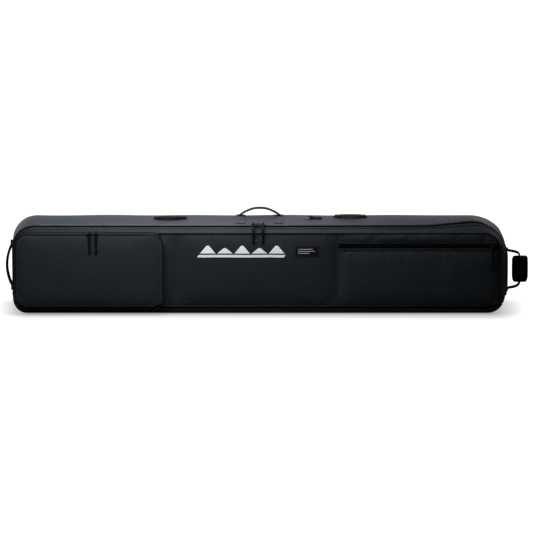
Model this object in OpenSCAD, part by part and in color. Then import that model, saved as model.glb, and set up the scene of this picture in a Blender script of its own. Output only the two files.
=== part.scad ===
// Padded travel bag for snowboards, lying on its base with the zipped lid facing -Y.
// X runs along the bag, Y from front to back and Z up. The origin is on the base, under the middle.

/* [Body] */
// Length of the body
body_l = 1730; // [1690:1:1770]
// Depth of the body from front seam to back seam
body_d = 190; // [186:1:196]
// Height of the crown of the top gusset
body_h = 326; // [322:1:332]
// Thickness of the padded walls
wall = 6; // [5:0.5:8]
// How far the crown falls to the front seam
crown_front = 38.4; // [34:0.2:42]
// How far the crown falls to the back seam
crown_back = 28; // [24:0.5:34]
// How far the ends pull in at the front and back seams
end_pull = 28; // [22:1:32]
// Height of the rounded bottom edges
bottom_r = 27; // [24:1:30]

/* [Corners] */
// Radius of the top right corner
r_top_right = 143; // [120:1:150]
// Radius of the top left corner
r_top_left = 90; // [80:1:110]
// Radius of the bottom left corner
r_bottom_left = 50; // [45:1:70]
// Radius of the bottom right corner
r_bottom_right = 104; // [80:1:110]

/* [Lid] */
// How far behind the front seam the main zipper runs
zip_back = 35; // [32:1:40]
// Half length of the front panel
front_x = 836; // [820:1:840]
// Top seam of the front panel
front_top = 287; // [284:0.5:290]
// Height of the lid's hinge line
hinge_z = 28; // [26:0.5:29]
// Seam between the left and middle front panels
seam_left = -293; // [-310:1:-280]
// Seam between the middle and right front panels
seam_right = 271; // [255:1:275]

/* [Box pocket] */
// Left edge of the box pocket
pocket_x0 = -850; // [-852:1:-840]
// Right edge of the box pocket
pocket_x1 = -336; // [-345:1:-325]
// How far the box pocket stands proud of the front panel
pocket_d = 27; // [22:1:29]
// Top of the box pocket
pocket_top = 289; // [284:1:290]

/* [Flat pocket] */
// Height of the flat pocket's zipper
flat_z = 242; // [232:1:246]
// Left end of the flat pocket's zipper
flat_x0 = 276; // [274:1:300]
// Right end of the flat pocket's zipper
flat_x1 = 818; // [800:1:820]

/* [Handles] */
// Length of the haul handle between its feet
haul_l = 138; // [120:1:150]
// Height of the haul handle above the crown
haul_h = 28; // [24:1:36]
// Width of the handle webbing
webbing_w = 25; // [20:1:25]
// Length of the tow handle's padded wrap
wrap_l = 94; // [80:1:100]
// Width of the tow handle's padded wrap
wrap_w = 58; // [50:1:60]

/* [Hidden] */

$fn = 48;
gap = 0.3;                       // clearance between bodies
y_front = -body_d / 2;           // front seam
y_back = body_d / 2;             // back seam
y_zip = y_front + zip_back;      // main zipper
y_crest = 30;                    // line of the crown's crest
y_waist = 10;                    // line where the ends reach furthest
x_end = body_l / 2;
x_top_left = -x_end + r_top_left;
x_top_right = x_end - r_top_right;
skin = 3;                        // thickness of the front fabric
y_face = y_front - skin;         // front face of the lid
hinge_y = y_front + 1;
hinge_r = 4;
y_pocket = y_face - pocket_d;    // front face of the box pocket
z_pocket = hinge_z + 3;          // underside of the box pocket
pocket_hinge_r = 3;
pocket_hinge_z = z_pocket + pocket_hinge_r;
tape = 1.4;                      // thickness of the zipper tapes
lining = 1.2;
y_lining = y_back - 12;          // face of the back foam
corner_steps = 8;

// ---- curves ----
function crown(y) = y < y_crest
    ? body_h - crown_front * pow((y_crest - y) / (y_crest - y_front), 1.86)
    : body_h - crown_back * pow((y - y_crest) / (y_back - y_crest), 2);
function end_x(y) = x_end - end_pull * pow(abs(y - y_waist) / (y_waist - y_front), 4);
function arc(cx, cy, r, a0, a1, n = corner_steps) =
    [for (i = [0:n]) let (a = a0 + (a1 - a0) * i / n) [cx + r * cos(a), cy + r * sin(a)]];
function steps(a, b, n) = [for (i = [0:n]) a + (b - a) * i / n];
function round_rect(x0, x1, z0, z1, tr, tl, bl, br) = concat(
    arc(x1 - tr, z1 - tr, tr, 0, 90),
    arc(x0 + tl, z1 - tl, tl, 90, 180),
    arc(x0 + bl, z0 + bl, bl, 180, 270),
    arc(x1 - br, z0 + br, br, 270, 360));
function side_outline(e) = round_rect(-x_end - e, x_end + e, -e, body_h + e,
    r_top_right + e, r_top_left + e, r_bottom_left + e, r_bottom_right + e);
// Both outlines below keep the body's depth, so a layer of them has no front or back wall.
function section(e) = concat(
    [[y_front - 0.01, bottom_r]],
    arc(y_front + bottom_r, bottom_r, bottom_r + e, 180, 270),
    arc(y_back - bottom_r, bottom_r, bottom_r + e, 270, 360),
    [[y_back + 0.01, bottom_r]],
    [for (y = steps(y_back + 0.01, y_front - 0.01, 16)) [y, crown(y) + e]]);
function plan(e) = concat(
    [for (y = steps(y_front - 0.02, y_back + 0.02, 16)) [end_x(y) + e, y]],
    [for (y = steps(y_back + 0.02, y_front - 0.02, 16)) [-end_x(y) - e, y]]);
// A strip of the crown from y0 to y1, lifted by e above the body and t thick.
function crown_strip(y0, y1, e, t) = concat(
    [for (y = steps(y0, y1, 12)) [y, crown(y) + e]],
    [for (y = steps(y1, y0, 12)) [y, crown(y) + e - t]]);
function front_outline(e, bottom) = round_rect(-front_x - e, front_x + e, bottom,
    front_top + e, 58 + e, 60 + e, 20, 20);
function pocket_outline(e) = round_rect(pocket_x0 - e, pocket_x1 + e, z_pocket - e,
    pocket_top + e, 42 + e, 42 + e, 24 + e, 24 + e);

// ---- building blocks ----
module across(points, y0, y1) {
    translate([0, y1, 0]) rotate([90, 0, 0]) linear_extrude(y1 - y0) polygon(points);
}
module along(points, x0, x1) {
    translate([x0, 0, 0]) rotate([90, 0, 90]) linear_extrude(x1 - x0) polygon(points);
}
module box(a, b) {
    translate(a) cube(b - a);
}
module rod(a, length, r, axis) {
    turn = axis == "x" ? [0, 90, 0] : [0, 0, 0];
    translate(a) rotate(turn) cylinder(h = length, r = r, center = true);
}
// The body's outer form, grown by e.
module form(e) {
    intersection() {
        across(side_outline(e), y_front - 20, y_back + 20);
        along(section(e), -x_end - 20, x_end + 20);
        translate([0, 0, -20]) linear_extrude(body_h + 40) polygon(plan(e));
    }
}
// A layer of the body's wall, between two offsets, inside one box.
module layer(outer, inner, a, b) {
    intersection() {
        difference() {
            form(outer);
            form(inner);
        }
        box(a, b);
    }
}
module ring_across(outer, inner, y0, y1) {
    difference() {
        across(outer, y0, y1);
        across(inner, y0 - 1, y1 + 1);
    }
}

// ---- tub ----
module top_gusset() {
    color("#23262b") along(crown_strip(y_zip, y_back - skin, 0, wall), x_top_left, x_top_right);
}
module bottom_gusset() {
    // The back edge stops where it meets the back panel.
    back_turn = 332;
    outer = concat(arc(y_front + bottom_r, bottom_r, bottom_r, 188, 270),
        arc(y_back - bottom_r, bottom_r, bottom_r, 270, back_turn));
    inner = concat(arc(y_back - bottom_r, bottom_r, bottom_r - wall, back_turn, 270),
        arc(y_front + bottom_r, bottom_r, bottom_r - wall, 270, 188));
    color("#1a1c20") along(concat(outer, inner), x_top_left, x_top_right);
}
module end_gusset(x0, x1) {
    layer(0, -wall, [x0, y_zip, -5], [x1, y_back - skin, body_h + 5]);
    // The corner under the lid.
    layer(0, -wall, [x0, y_front, -5], [x1, y_zip, hinge_z - hinge_r - 0.6]);
}
module left_end_gusset() {
    color("#23262b") end_gusset(-x_end - 5, x_top_left);
}
module right_end_gusset() {
    color("#23262b") end_gusset(x_top_right, x_end + 5);
}
module back_panel() {
    color("#1d1f23") intersection() {
        form(0);
        box([-x_end, y_back - skin + 0.05, -1], [x_end, y_back, body_h]);
    }
}
module back_piping() {
    back_x = end_x(y_back);
    ring = round_rect(-back_x - 3, back_x + 3, bottom_r - 12, crown(y_back) + 3, 80, 70, 50, 70);
    hole = round_rect(-back_x + 2, back_x - 2, bottom_r - 7, crown(y_back) - 2, 76, 66, 46, 66);
    color("#15161a") ring_across(ring, hole, y_back, y_back + 4);
}
module tub_lining() {
    color("#3a3f47") {
        layer(-wall - 0.5, -wall - 0.5 - lining, [-x_end, y_zip + 6, 0], [x_end, y_lining, body_h]);
        intersection() {
            form(-wall - 0.5);
            box([-x_end, y_lining - lining, 0], [x_end, y_lining, body_h]);
        }
    }
}
module back_foam() {
    color("#2b2e34") intersection() {
        form(-wall - 0.5);
        box([-x_end, y_lining, 0], [x_end, y_back - skin, body_h]);
    }
}
module hinge_piping() {
    color("#15161a") rod([0, hinge_y, hinge_z], 2 * front_x - 80, hinge_r, "x");
}
module tub_zip_tape() {
    color("#0c0c0e") layer(tape, 0.15, [-x_end - 5, y_zip, 60], [x_end + 5, y_zip + 12, body_h + 5]);
}

// ---- handles ----
function bow(half, rise, n = 14) =
    [for (i = [0:n]) let (t = -1 + 2 * i / n) [half * t, rise * (1 - pow(abs(t), 2.6))]];
module bow_strap(half, rise, thick, wide) {
    outer = bow(half, rise);
    inner = [for (i = [14:-1:0]) [outer[i][0] * (1 - thick / half), outer[i][1] * (1 - thick / rise)]];
    rotate([90, 0, 0]) linear_extrude(wide, center = true) polygon(concat(outer, inner));
}
haul_z = body_h + 4;
module haul_handle() {
    color("#0b0b0d") {
        translate([0, y_crest - 12, haul_z + 3.4]) bow_strap(haul_l / 2, haul_h - 4, 3, webbing_w);
        for (side = [-1, 1]) {
            translate([side * (haul_l / 2 - 3), y_crest - 12, haul_z]) {
                rod([0, 0, 0], 8, 2.5, "x");
                box([-1.5, -2.4, 1.5], [1.5, 2.4, 4]);
            }
        }
    }
}
module haul_patches() {
    color("#101115") for (side = [-1, 1]) {
        x0 = side > 0 ? haul_l / 2 - 12 : -haul_l / 2 - 26;
        along(crown_strip(y_crest - 48, y_crest + 20, 1, 0.85), x0, x0 + 38);
    }
}
module grab_handle(x_mid) {
    half = 50;
    y_mid = y_crest - 4;
    translate([x_mid, y_mid, body_h + 0.1]) {
        bow_strap(half, 9, 2.4, 32);
        for (side = [-1, 1]) {
            translate([side * (half + 3), 0, 0]) box([-8, -16, 0], [8, 16, 1.2]);
        }
    }
}
module grab_handle_left() {
    color("#2a2622") grab_handle(-312);
}
module grab_handle_right() {
    color("#2a2622") grab_handle(316);
}
ring_x = 175;
ring_y = -8;
ring_lift = 6;
ring_tilt = atan((crown(ring_y + 4) - crown(ring_y - 4)) / 8);
module on_ring() {
    translate([ring_x, ring_y, crown(ring_y) + ring_lift]) rotate([ring_tilt, 0, 0]) children();
}
module ring_tab() {
    color("#0b0b0d") {
        along(crown_strip(ring_y - 8, ring_y + 8, 1.6, 1.5), ring_x + 3, ring_x + 42);
        on_ring() difference() {
            union() {
                rotate([90, 0, 0]) cylinder(h = 16, r = 3.4, center = true);
                box([1, -7, -ring_lift + 0.6], [5, 7, 0]);
            }
            rotate([90, 0, 0]) cylinder(h = 18, r = 2.2, center = true);
        }
    }
}
module webbing_ring() {
    color("#55585d") on_ring() {
        rotate([90, 0, 0]) cylinder(h = 24, r = 1.8, center = true);
        for (side = [-1, 1]) translate([-15, side * 10.5 - 1.5, -1.5]) cube([15, 3, 3]);
        translate([-16, -12, -1.5]) cube([3, 24, 3]);
    }
}
end_axis = x_end + 4.6;
left_z0 = 82;
left_z1 = 232;
module left_handle_patches() {
    color("#101115") for (z = [left_z0, left_z1]) {
        layer(1, 0.02, [-x_end - 3, -16, z - 16], [-x_end + 20, 16, z + 16]);
    }
}
module left_end_handle() {
    mid = (left_z0 + left_z1) / 2;
    color("#0b0b0d") {
        translate([-end_axis - 3.4, 0, mid]) rotate([0, -90, 0])
            bow_strap((left_z1 - left_z0) / 2, 16, 3.4, webbing_w);
        for (side = [-1, 1]) {
            z = mid + side * ((left_z1 - left_z0) / 2 - 3);
            rod([-end_axis, 0, z], 8, 2.5, "z");
            box([-end_axis - 4, -2.4, z - 1.5], [-end_axis - 1.5, 2.4, z + 1.5]);
        }
    }
}
tow_z0 = 75;
tow_z1 = 209;
wrap_x0 = end_axis + 12;
wrap_z0 = (tow_z0 + tow_z1) / 2 - wrap_l / 2;
module tow_handle_patches() {
    color("#101115") for (z = [tow_z0, tow_z1]) {
        layer(1, 0.02, [x_end - 20, -16, z - 16], [x_end + 3, 16, z + 16]);
    }
}
module tow_leg(z_foot, z_wrap) {
    up = z_wrap > z_foot ? 1 : -1;
    x_leg = wrap_x0 + wrap_w / 2;
    points = [
        [end_axis + 7, z_foot - 1.3 * up], [x_leg - 8, z_foot - 1.3 * up],
        [x_leg + 2, z_foot + 4 * up], [x_leg + 4, z_wrap],
        [x_leg + 1, z_wrap], [x_leg - 1, z_foot + 5 * up],
        [x_leg - 9, z_foot + 1.3 * up], [end_axis + 7, z_foot + 1.3 * up],
    ];
    across(points, -webbing_w / 2, webbing_w / 2);
    rod([end_axis, 0, z_foot], 10, 3, "z");
    box([end_axis + 2, -3, z_foot - 1.3], [end_axis + 7, 3, z_foot + 1.3]);
}
module tow_handle_legs() {
    color("#0b0b0d") {
        tow_leg(tow_z0, wrap_z0);
        tow_leg(tow_z1, wrap_z0 + wrap_l);
    }
}
module tow_handle_wrap() {
    color("#141518") across(round_rect(wrap_x0, wrap_x0 + wrap_w, wrap_z0, wrap_z0 + wrap_l,
        14, 6, 6, 14), -11, 11);
}

// ---- inside the tub ----
strap_x = 350;
strap_y = y_lining - lining - 2.2;
module inner_straps() {
    color("#0b0b0d") for (x = [-strap_x, strap_x]) {
        box([x - 12.5, strap_y, 16], [x + 12.5, strap_y + 2, crown(y_back) - 16]);
    }
}
module buckle_sockets() {
    color("#111114") for (x = [-strap_x, strap_x]) {
        difference() {
            box([x - 17, strap_y - 9.2, 150], [x + 17, strap_y - 0.2, 190]);
            box([x - 12.4, strap_y - 7.4, 145], [x + 12.4, strap_y - 2, 176]);
        }
    }
}
module buckle_plug(x) {
    box([x - 17, strap_y - 9.2, 126], [x + 17, strap_y - gap, 149.6]);
    for (side = [-1, 1]) {
        translate([x + side * 8, strap_y - 4.7, 149]) {
            translate([-3, -2, 0]) cube([6, 4, 24]);
        }
    }
}
module buckle_plug_left() {
    color("#17171b") buckle_plug(-strap_x);
}
module buckle_plug_right() {
    color("#17171b") buckle_plug(strap_x);
}

// ---- lid ----
lid_floor = hinge_z + hinge_r + 0.6;
y_lid_back = y_zip - 2 * gap;
module lid_top_band() {
    color("#24272c") along(crown_strip(y_front, y_lid_back, 0, wall), x_top_left, x_top_right);
}
module lid_left_band() {
    color("#24272c") layer(0, -wall, [-x_end - 5, y_front, lid_floor + 4],
        [x_top_left, y_lid_back, body_h]);
}
module lid_right_band() {
    color("#24272c") layer(0, -wall, [x_top_right, y_front, lid_floor + 4],
        [x_end + 5, y_lid_back, body_h]);
}
module front_slab(x0, x1, y0, y1) {
    intersection() {
        across(front_outline(0, lid_floor), y0, y1);
        box([x0, y0 - 1, 0], [x1, y1 + 1, body_h]);
    }
}
module front_panel_left() {
    color("#17191d") front_slab(-front_x - 1, seam_left, y_face, y_front);
}
module front_panel_middle() {
    color("#17191d") front_slab(seam_left, seam_right, y_face, y_front);
}
module front_panel_right_lower() {
    color("#141519") intersection() {
        front_slab(seam_right, front_x + 1, y_face, y_front);
        box([0, y_face - 1, 0], [x_end, y_front + 1, flat_z - 6]);
    }
}
module front_panel_right_upper() {
    color("#17191d") intersection() {
        front_slab(seam_right, front_x + 1, y_face, y_front);
        box([0, y_face - 1, flat_z + 6], [x_end, y_front + 1, body_h]);
    }
}
// The foam sits inside the bands, so its outline is pulled in.
module foam_slab(x0, x1, y0, y1) {
    intersection() {
        across(front_outline(-14, lid_floor + 6), y0, y1);
        box([x0, y0 - 1, 0], [x1, y1 + 1, body_h]);
    }
}
module front_foam_left() {
    color("#2b2e34") foam_slab(-front_x, seam_right - 2, y_front, y_front + 9);
}
module front_foam_right() {
    color("#2b2e34") foam_slab(seam_right - 2, front_x, y_front + 6.2, y_front + 9);
}
module flat_pocket_lining() {
    color("#3a3f47") foam_slab(seam_right, front_x, y_front + 5.2, y_front + 6.2);
}
module lid_lining() {
    color("#3a3f47") foam_slab(-front_x, front_x, y_front + 9, y_front + 10.2);
}
module front_piping() {
    color("#0f1013") difference() {
        ring_across(front_outline(4, lid_floor), front_outline(0, lid_floor - 9), y_face - 1, y_front - 0.1);
        box([-x_end, y_face - 9, 0], [x_end, y_front, lid_floor + 24]);
        box([pocket_x0 - 6, y_face - 9, 0], [pocket_x1 + 4, y_front, body_h]);
    }
}
module lid_zip_tape() {
    color("#0c0c0e") layer(tape, 0.15, [-x_end - 5, y_lid_back - 12, 60], [x_end + 5, y_lid_back, body_h + 5]);
}
// A generic mark: a row of five peaks over a bar.
module emblem() {
    peak_w = 54;
    bar_h = 9;
    color("#f2f2f2") {
        across([[-218, 205], [84, 205], [90, 205 + bar_h], [-212, 205 + bar_h]], y_face - 0.9, y_face - 0.05);
        for (i = [0:4]) {
            x = -208 + i * 60;
            top = i % 2 == 0 ? 246 : 237;
            across([[x, 219], [x + peak_w, 219], [x + peak_w / 2 + 4, top], [x + peak_w / 2 - 4, top]],
                y_face - 0.9, y_face - 0.05);
        }
    }
}
module woven_label() {
    color("#0a0a0b") box([121, y_face - 1.2, 208], [205, y_face - 0.05, 244]);
}
module flat_zip_tapes() {
    color("#0c0c0e") for (z = [flat_z - 12, flat_z + 0.4]) {
        box([flat_x0, y_face - tape, z], [flat_x1, y_face - 0.02, z + 11.6]);
    }
}

// ---- box pocket ----
module box_pocket_gusset() {
    color("#1b1d22") ring_across(pocket_outline(0), pocket_outline(-2.5), y_pocket + 6.5, y_face - 0.05);
}
module pocket_hinge_piping() {
    color("#0f1013") rod([(pocket_x0 + pocket_x1) / 2, y_pocket + 3, pocket_hinge_z],
        pocket_x1 - pocket_x0 - 70, pocket_hinge_r, "x");
}
module pocket_zip(y0, y1) {
    intersection() {
        ring_across(pocket_outline(0.4), pocket_outline(-12), y0, y1);
        box([pocket_x0 - 5, y0 - 1, z_pocket + 30], [pocket_x1 + 5, y1 + 1, body_h]);
    }
}
module pocket_zip_tape_inner() {
    color("#0c0c0e") pocket_zip(y_pocket + 4.8, y_pocket + 6.4);
}
module pocket_panel() {
    color("#17191d") intersection() {
        across(pocket_outline(0), y_pocket, y_pocket + skin - 0.1);
        box([pocket_x0 - 5, y_pocket - 1, pocket_hinge_z + pocket_hinge_r + 0.5],
            [pocket_x1 + 5, y_pocket + skin + 1, body_h]);
    }
}
module pocket_zip_tape_outer() {
    color("#0c0c0e") pocket_zip(y_pocket + 2.95, y_pocket + 4.5);
}

// ---- sliders and pulls ----
main_slider_x = [-22, 11];
pocket_slider_x = [-591, -568];
flat_slider_x = 811;
slider_w = 11;
pin_h = 8;                       // height of the pull's pin over the slider's underside
module slider_body(length) {
    translate([-length / 2, -slider_w / 2, 0]) cube([length, slider_w, 5]);
    // Two posts and a pin carry the pull.
    for (side = [-1, 1]) translate([side * 3.6 - 0.8, -1.6, 4]) cube([1.6, 3.2, 6]);
    rod([0, 0, pin_h], 7, 1, "x");
}
// Slope of the gusset where the main sliders run.
main_tilt = atan((crown(y_zip + 4) - crown(y_zip - 4)) / 8);
main_slider_z = crown(y_zip) + tape + 1.2;
module main_slider(x) {
    translate([x, y_zip - 2, main_slider_z]) rotate([main_tilt, 0, 0]) slider_body(20);
}
module main_slider_left() {
    color("#2c2d30") main_slider(main_slider_x[0]);
}
module main_slider_right() {
    color("#2c2d30") main_slider(main_slider_x[1]);
}
pocket_slider_z = pocket_top + 1;
module pocket_slider(x) {
    translate([x, y_pocket + 1.4, pocket_slider_z]) slider_body(18);
}
module pocket_slider_left() {
    color("#2c2d30") pocket_slider(pocket_slider_x[0]);
}
module pocket_slider_right() {
    color("#2c2d30") pocket_slider(pocket_slider_x[1]);
}
module flat_slider() {
    color("#2c2d30") translate([flat_slider_x, y_face - tape - 0.4, flat_z + 0.2])
        rotate([90, 0, 0]) slider_body(20);
}
// A pull: an eye on the slider's pin, a neck over the edge and a moulded grip.
// reach is how far it runs forward before it turns down, and drop is where the grip starts.
module pull(reach, start_drop, drop, grip_l) {
    half = 1.5;
    side_points = [
        [0, half], [0, -half], [-reach + half, -start_drop - half], [-reach + half, -drop],
        [-reach - half, -drop], [-reach - half, -start_drop + half],
    ];
    difference() {
        union() {
            rod([0, 0, 0], 4, 2.4, "x");
            along(side_points, -1.6, 1.6);
        }
        rod([0, 0, 0], 5, 1.3, "x");
    }
    box([-4, -reach - 3, -drop - grip_l], [4, -reach + 2, -drop]);
}
main_pin = [0, y_zip - 2 - pin_h * sin(main_tilt), main_slider_z + pin_h * cos(main_tilt)];
main_reach = main_pin[1] - y_face + 4.5;
module main_pull_left() {
    color("#0a0a0b") translate([main_slider_x[0], main_pin[1], main_pin[2]]) pull(main_reach, 12, 36, 27);
}
module main_pull_right() {
    color("#0a0a0b") translate([main_slider_x[1], main_pin[1], main_pin[2]]) pull(main_reach, 12, 36, 27);
}
module pocket_pull(x) {
    translate([x, y_pocket + 1.4, pocket_slider_z + pin_h]) pull(9.5, 1.5, 48, 27);
}
module pocket_pull_left() {
    color("#0a0a0b") pocket_pull(pocket_slider_x[0]);
}
module pocket_pull_right() {
    color("#0a0a0b") pocket_pull(pocket_slider_x[1]);
}
flat_pin = [flat_slider_x, y_face - tape - 0.4 - pin_h, flat_z + 0.2];
module flat_pull() {
    color("#0a0a0b") translate(flat_pin) pull(0.6, 4, 52, 38);
}
// A small hood over the place where the main sliders meet.
module zip_garage() {
    hood = [11, 18, 9];
    color("#0c0c0e") translate([(main_slider_x[0] + main_slider_x[1]) / 2, y_zip - 2,
            crown(y_zip) + tape + 0.1]) rotate([main_tilt, 0, 0]) difference() {
        translate([-hood[0] / 2, -hood[1] / 2, 0]) cube(hood);
        cube([20, 13, 12], center = true);
    }
}

top_gusset();
bottom_gusset();
left_end_gusset();
right_end_gusset();
back_panel();
back_piping();
tub_lining();
back_foam();
hinge_piping();
tub_zip_tape();
haul_patches();
grab_handle_left();
grab_handle_right();
ring_tab();
webbing_ring();
left_handle_patches();
tow_handle_patches();
haul_handle();
left_end_handle();
tow_handle_legs();
tow_handle_wrap();
inner_straps();
buckle_sockets();
buckle_plug_left();
buckle_plug_right();
lid_top_band();
lid_left_band();
lid_right_band();
front_panel_left();
front_panel_middle();
front_panel_right_lower();
front_panel_right_upper();
front_foam_left();
front_foam_right();
flat_pocket_lining();
lid_lining();
front_piping();
lid_zip_tape();
emblem();
woven_label();
flat_zip_tapes();
box_pocket_gusset();
pocket_hinge_piping();
pocket_zip_tape_inner();
pocket_panel();
pocket_zip_tape_outer();
main_slider_left();
main_slider_right();
pocket_slider_left();
pocket_slider_right();
flat_slider();
main_pull_left();
main_pull_right();
pocket_pull_left();
pocket_pull_right();
flat_pull();
zip_garage();
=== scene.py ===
"""Looks of a padded travel bag for snowboards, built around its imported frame. Units are metres."""
import logging
import math
from dataclasses import dataclass, field
from enum import Enum
from typing import Callable, Optional, Sequence

import bpy
import numpy as np
from mathutils import Matrix, Vector
from mathutils.bvhtree import BVHTree


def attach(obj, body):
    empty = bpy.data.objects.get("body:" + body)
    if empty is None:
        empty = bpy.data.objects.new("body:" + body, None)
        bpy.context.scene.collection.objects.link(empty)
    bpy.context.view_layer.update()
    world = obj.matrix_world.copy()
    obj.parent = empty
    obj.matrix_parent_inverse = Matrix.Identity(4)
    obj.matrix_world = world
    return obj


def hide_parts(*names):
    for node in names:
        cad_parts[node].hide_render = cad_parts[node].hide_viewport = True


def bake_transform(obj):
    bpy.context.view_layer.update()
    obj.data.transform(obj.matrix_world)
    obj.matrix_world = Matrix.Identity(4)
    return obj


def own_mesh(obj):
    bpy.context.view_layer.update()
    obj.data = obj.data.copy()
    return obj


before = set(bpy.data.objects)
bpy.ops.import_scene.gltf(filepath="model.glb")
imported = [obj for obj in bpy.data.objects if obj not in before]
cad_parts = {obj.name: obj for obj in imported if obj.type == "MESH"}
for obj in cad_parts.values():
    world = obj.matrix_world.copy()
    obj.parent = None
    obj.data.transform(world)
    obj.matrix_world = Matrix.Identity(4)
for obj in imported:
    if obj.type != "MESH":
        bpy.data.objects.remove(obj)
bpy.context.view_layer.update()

LOG = logging.getLogger("bag")
FULL_TURN = 2 * math.pi
FRONT = (0.0, -1.0, 0.0)
LID_FACE = -0.098
GRAVITY = 9.8
CLOTH_FRAMES = 21


class Part(Enum):
    """Which stretch of the bag's outline a shell follows."""

    UPPER = "over the top, from end to end"
    LOWER = "along the base"
    WHOLE = "all the way round"


class Weave(Enum):
    """How a cloth's threads cross."""

    PLAIN = 0.0
    RIB = 1.0


# ---- mesh tools ----
def deselect_all() -> None:
    """Leaves nothing selected, so that an operator acts on the new piece alone."""
    bpy.ops.object.select_all(action="DESELECT")


def choose(obj: bpy.types.Object) -> None:
    """Makes one object the only selected and active one."""
    deselect_all()
    obj.select_set(True)
    bpy.context.view_layer.objects.active = obj


def new_piece(name: str) -> bpy.types.Object:
    """Names the primitive just added, and puts its place into its mesh."""
    obj = bpy.context.active_object
    choose(obj)
    bpy.ops.object.transform_apply(location=True, rotation=True, scale=True)
    obj.name = name
    obj.data.name = name
    return obj


def coordinates(obj: bpy.types.Object) -> np.ndarray:
    """Gives an object's vertices as an array of rows."""
    flat = np.empty(len(obj.data.vertices) * 3)
    obj.data.vertices.foreach_get("co", flat)
    return flat.reshape(-1, 3)


def set_coordinates(obj: bpy.types.Object, points: np.ndarray) -> None:
    """Moves an object's vertices to the given rows."""
    obj.data.vertices.foreach_set("co", points.ravel())
    obj.data.update()


def apply_modifier(obj: bpy.types.Object, kind: str, **settings: object) -> None:
    """Adds a modifier, sets it and applies it.

    Args:
        obj: The piece.
        kind: Blender's name for the modifier's type.
        settings: The modifier's properties.
    """
    choose(obj)
    modifier = obj.modifiers.new(kind.title(), kind)
    for key, value in settings.items():
        setattr(modifier, key, value)
    bpy.ops.object.modifier_apply(modifier=modifier.name)


def close_up(obj: bpy.types.Object, outward: bool = True) -> None:
    """Merges doubled points, and turns a closed piece's faces outwards.

    Args:
        obj: The piece.
        outward: Whether to recalculate the normals, which suits closed shells only.
    """
    choose(obj)
    bpy.ops.object.mode_set(mode="EDIT")
    bpy.ops.mesh.select_all(action="SELECT")
    bpy.ops.mesh.remove_doubles(threshold=2e-6)
    bpy.ops.mesh.dissolve_degenerate(threshold=1e-7)
    if outward:
        bpy.ops.mesh.normals_make_consistent(inside=False)
    bpy.ops.object.mode_set(mode="OBJECT")


def smooth(obj: bpy.types.Object, degrees: float = 50.0) -> None:
    """Shades a piece smooth, except across edges sharper than the angle."""
    choose(obj)
    bpy.ops.object.shade_smooth_by_angle(angle=math.radians(degrees))


def lengths(points: np.ndarray, axis: int) -> np.ndarray:
    """Gives the distance run along one axis of a grid of points, for its UVs."""
    step = np.linalg.norm(np.diff(points, axis=axis), axis=2)
    return np.insert(np.cumsum(step, axis=axis), 0, 0.0, axis=axis)


def surface(name: str, points: np.ndarray) -> bpy.types.Object:
    """Lays a grid primitive on a surface, with UVs in metres.

    Args:
        name: The piece's name.
        points: The surface, as (columns, rows, 3). Its normal is column direction x row direction.

    Returns:
        The new object, as one open sheet.
    """
    columns, rows = points.shape[0] - 1, points.shape[1] - 1
    deselect_all()
    bpy.ops.mesh.primitive_grid_add(x_subdivisions=columns, y_subdivisions=rows, size=1.0)
    obj = new_piece(name)
    flat = coordinates(obj)
    col = np.rint((flat[:, 0] + 0.5) * columns).astype(int)
    row = np.rint((flat[:, 1] + 0.5) * rows).astype(int)
    set_coordinates(obj, points[col, row])
    corner = np.empty(len(obj.data.loops), dtype=int)
    obj.data.loops.foreach_get("vertex_index", corner)
    run = np.stack([lengths(points, 0)[col, row], lengths(points, 1)[col, row]], axis=1)
    obj.data.uv_layers[0].data.foreach_set("uv", run[corner].ravel())
    return obj


def sheet(name: str, points: np.ndarray, thickness: float, inner: int = 0) -> bpy.types.Object:
    """Makes a closed sheet of cloth that grows inwards from its face.

    Args:
        name: The piece's name.
        points: The face, as for surface().
        thickness: How thick the cloth is.
        inner: 1 to give the inner face the piece's second material.

    Returns:
        The new object.
    """
    obj = surface(name, points)
    thicken(obj, thickness, inner)
    return obj


def thicken(obj: bpy.types.Object, thickness: float, inner: int = 0) -> None:
    """Gives an open sheet its thickness, behind its face."""
    apply_modifier(obj, "SOLIDIFY", thickness=thickness, offset=-1.0, material_offset=inner)
    smooth(obj)


def normals_of(points: np.ndarray) -> np.ndarray:
    """Gives the unit normals of a grid of points."""
    across = np.gradient(points, axis=0)
    along = np.gradient(points, axis=1)
    normal = np.cross(across, along)
    return normal / np.maximum(np.linalg.norm(normal, axis=2, keepdims=True), 1e-12)


def raised(points: np.ndarray, amount: np.ndarray) -> np.ndarray:
    """Moves a grid of points along its normals by an amount for each point."""
    return points + normals_of(points) * np.asarray(amount)[..., None]


def waves(a: np.ndarray, b: np.ndarray, length: float, seed: int) -> np.ndarray:
    """Gives a smooth, repeatable unevenness between about -1 and 1.

    Args:
        a: First coordinate of each point.
        b: Second coordinate.
        length: The waves' usual length.
        seed: Which unevenness.

    Returns:
        A value for each point.
    """
    draw = np.random.default_rng(seed)
    total = np.zeros(np.broadcast(a, b).shape)
    for _ in range(7):
        turn, phase = draw.uniform(0, FULL_TURN, 2)
        rate = FULL_TURN / (length * draw.uniform(0.7, 1.5))
        total += np.sin(rate * (a * math.cos(turn) + b * math.sin(turn)) + phase)
    return total / 3.5


def resample(path: np.ndarray, count: int) -> np.ndarray:
    """Spaces a path's points evenly.

    Args:
        path: The path, as rows.
        count: How many points to give.

    Returns:
        The new rows.
    """
    run = np.insert(np.cumsum(np.linalg.norm(np.diff(path, axis=0), axis=1)), 0, 0.0)
    wanted = np.linspace(0.0, run[-1], count)
    return np.stack([np.interp(wanted, run, path[:, k]) for k in range(path.shape[1])], axis=1)


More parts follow.
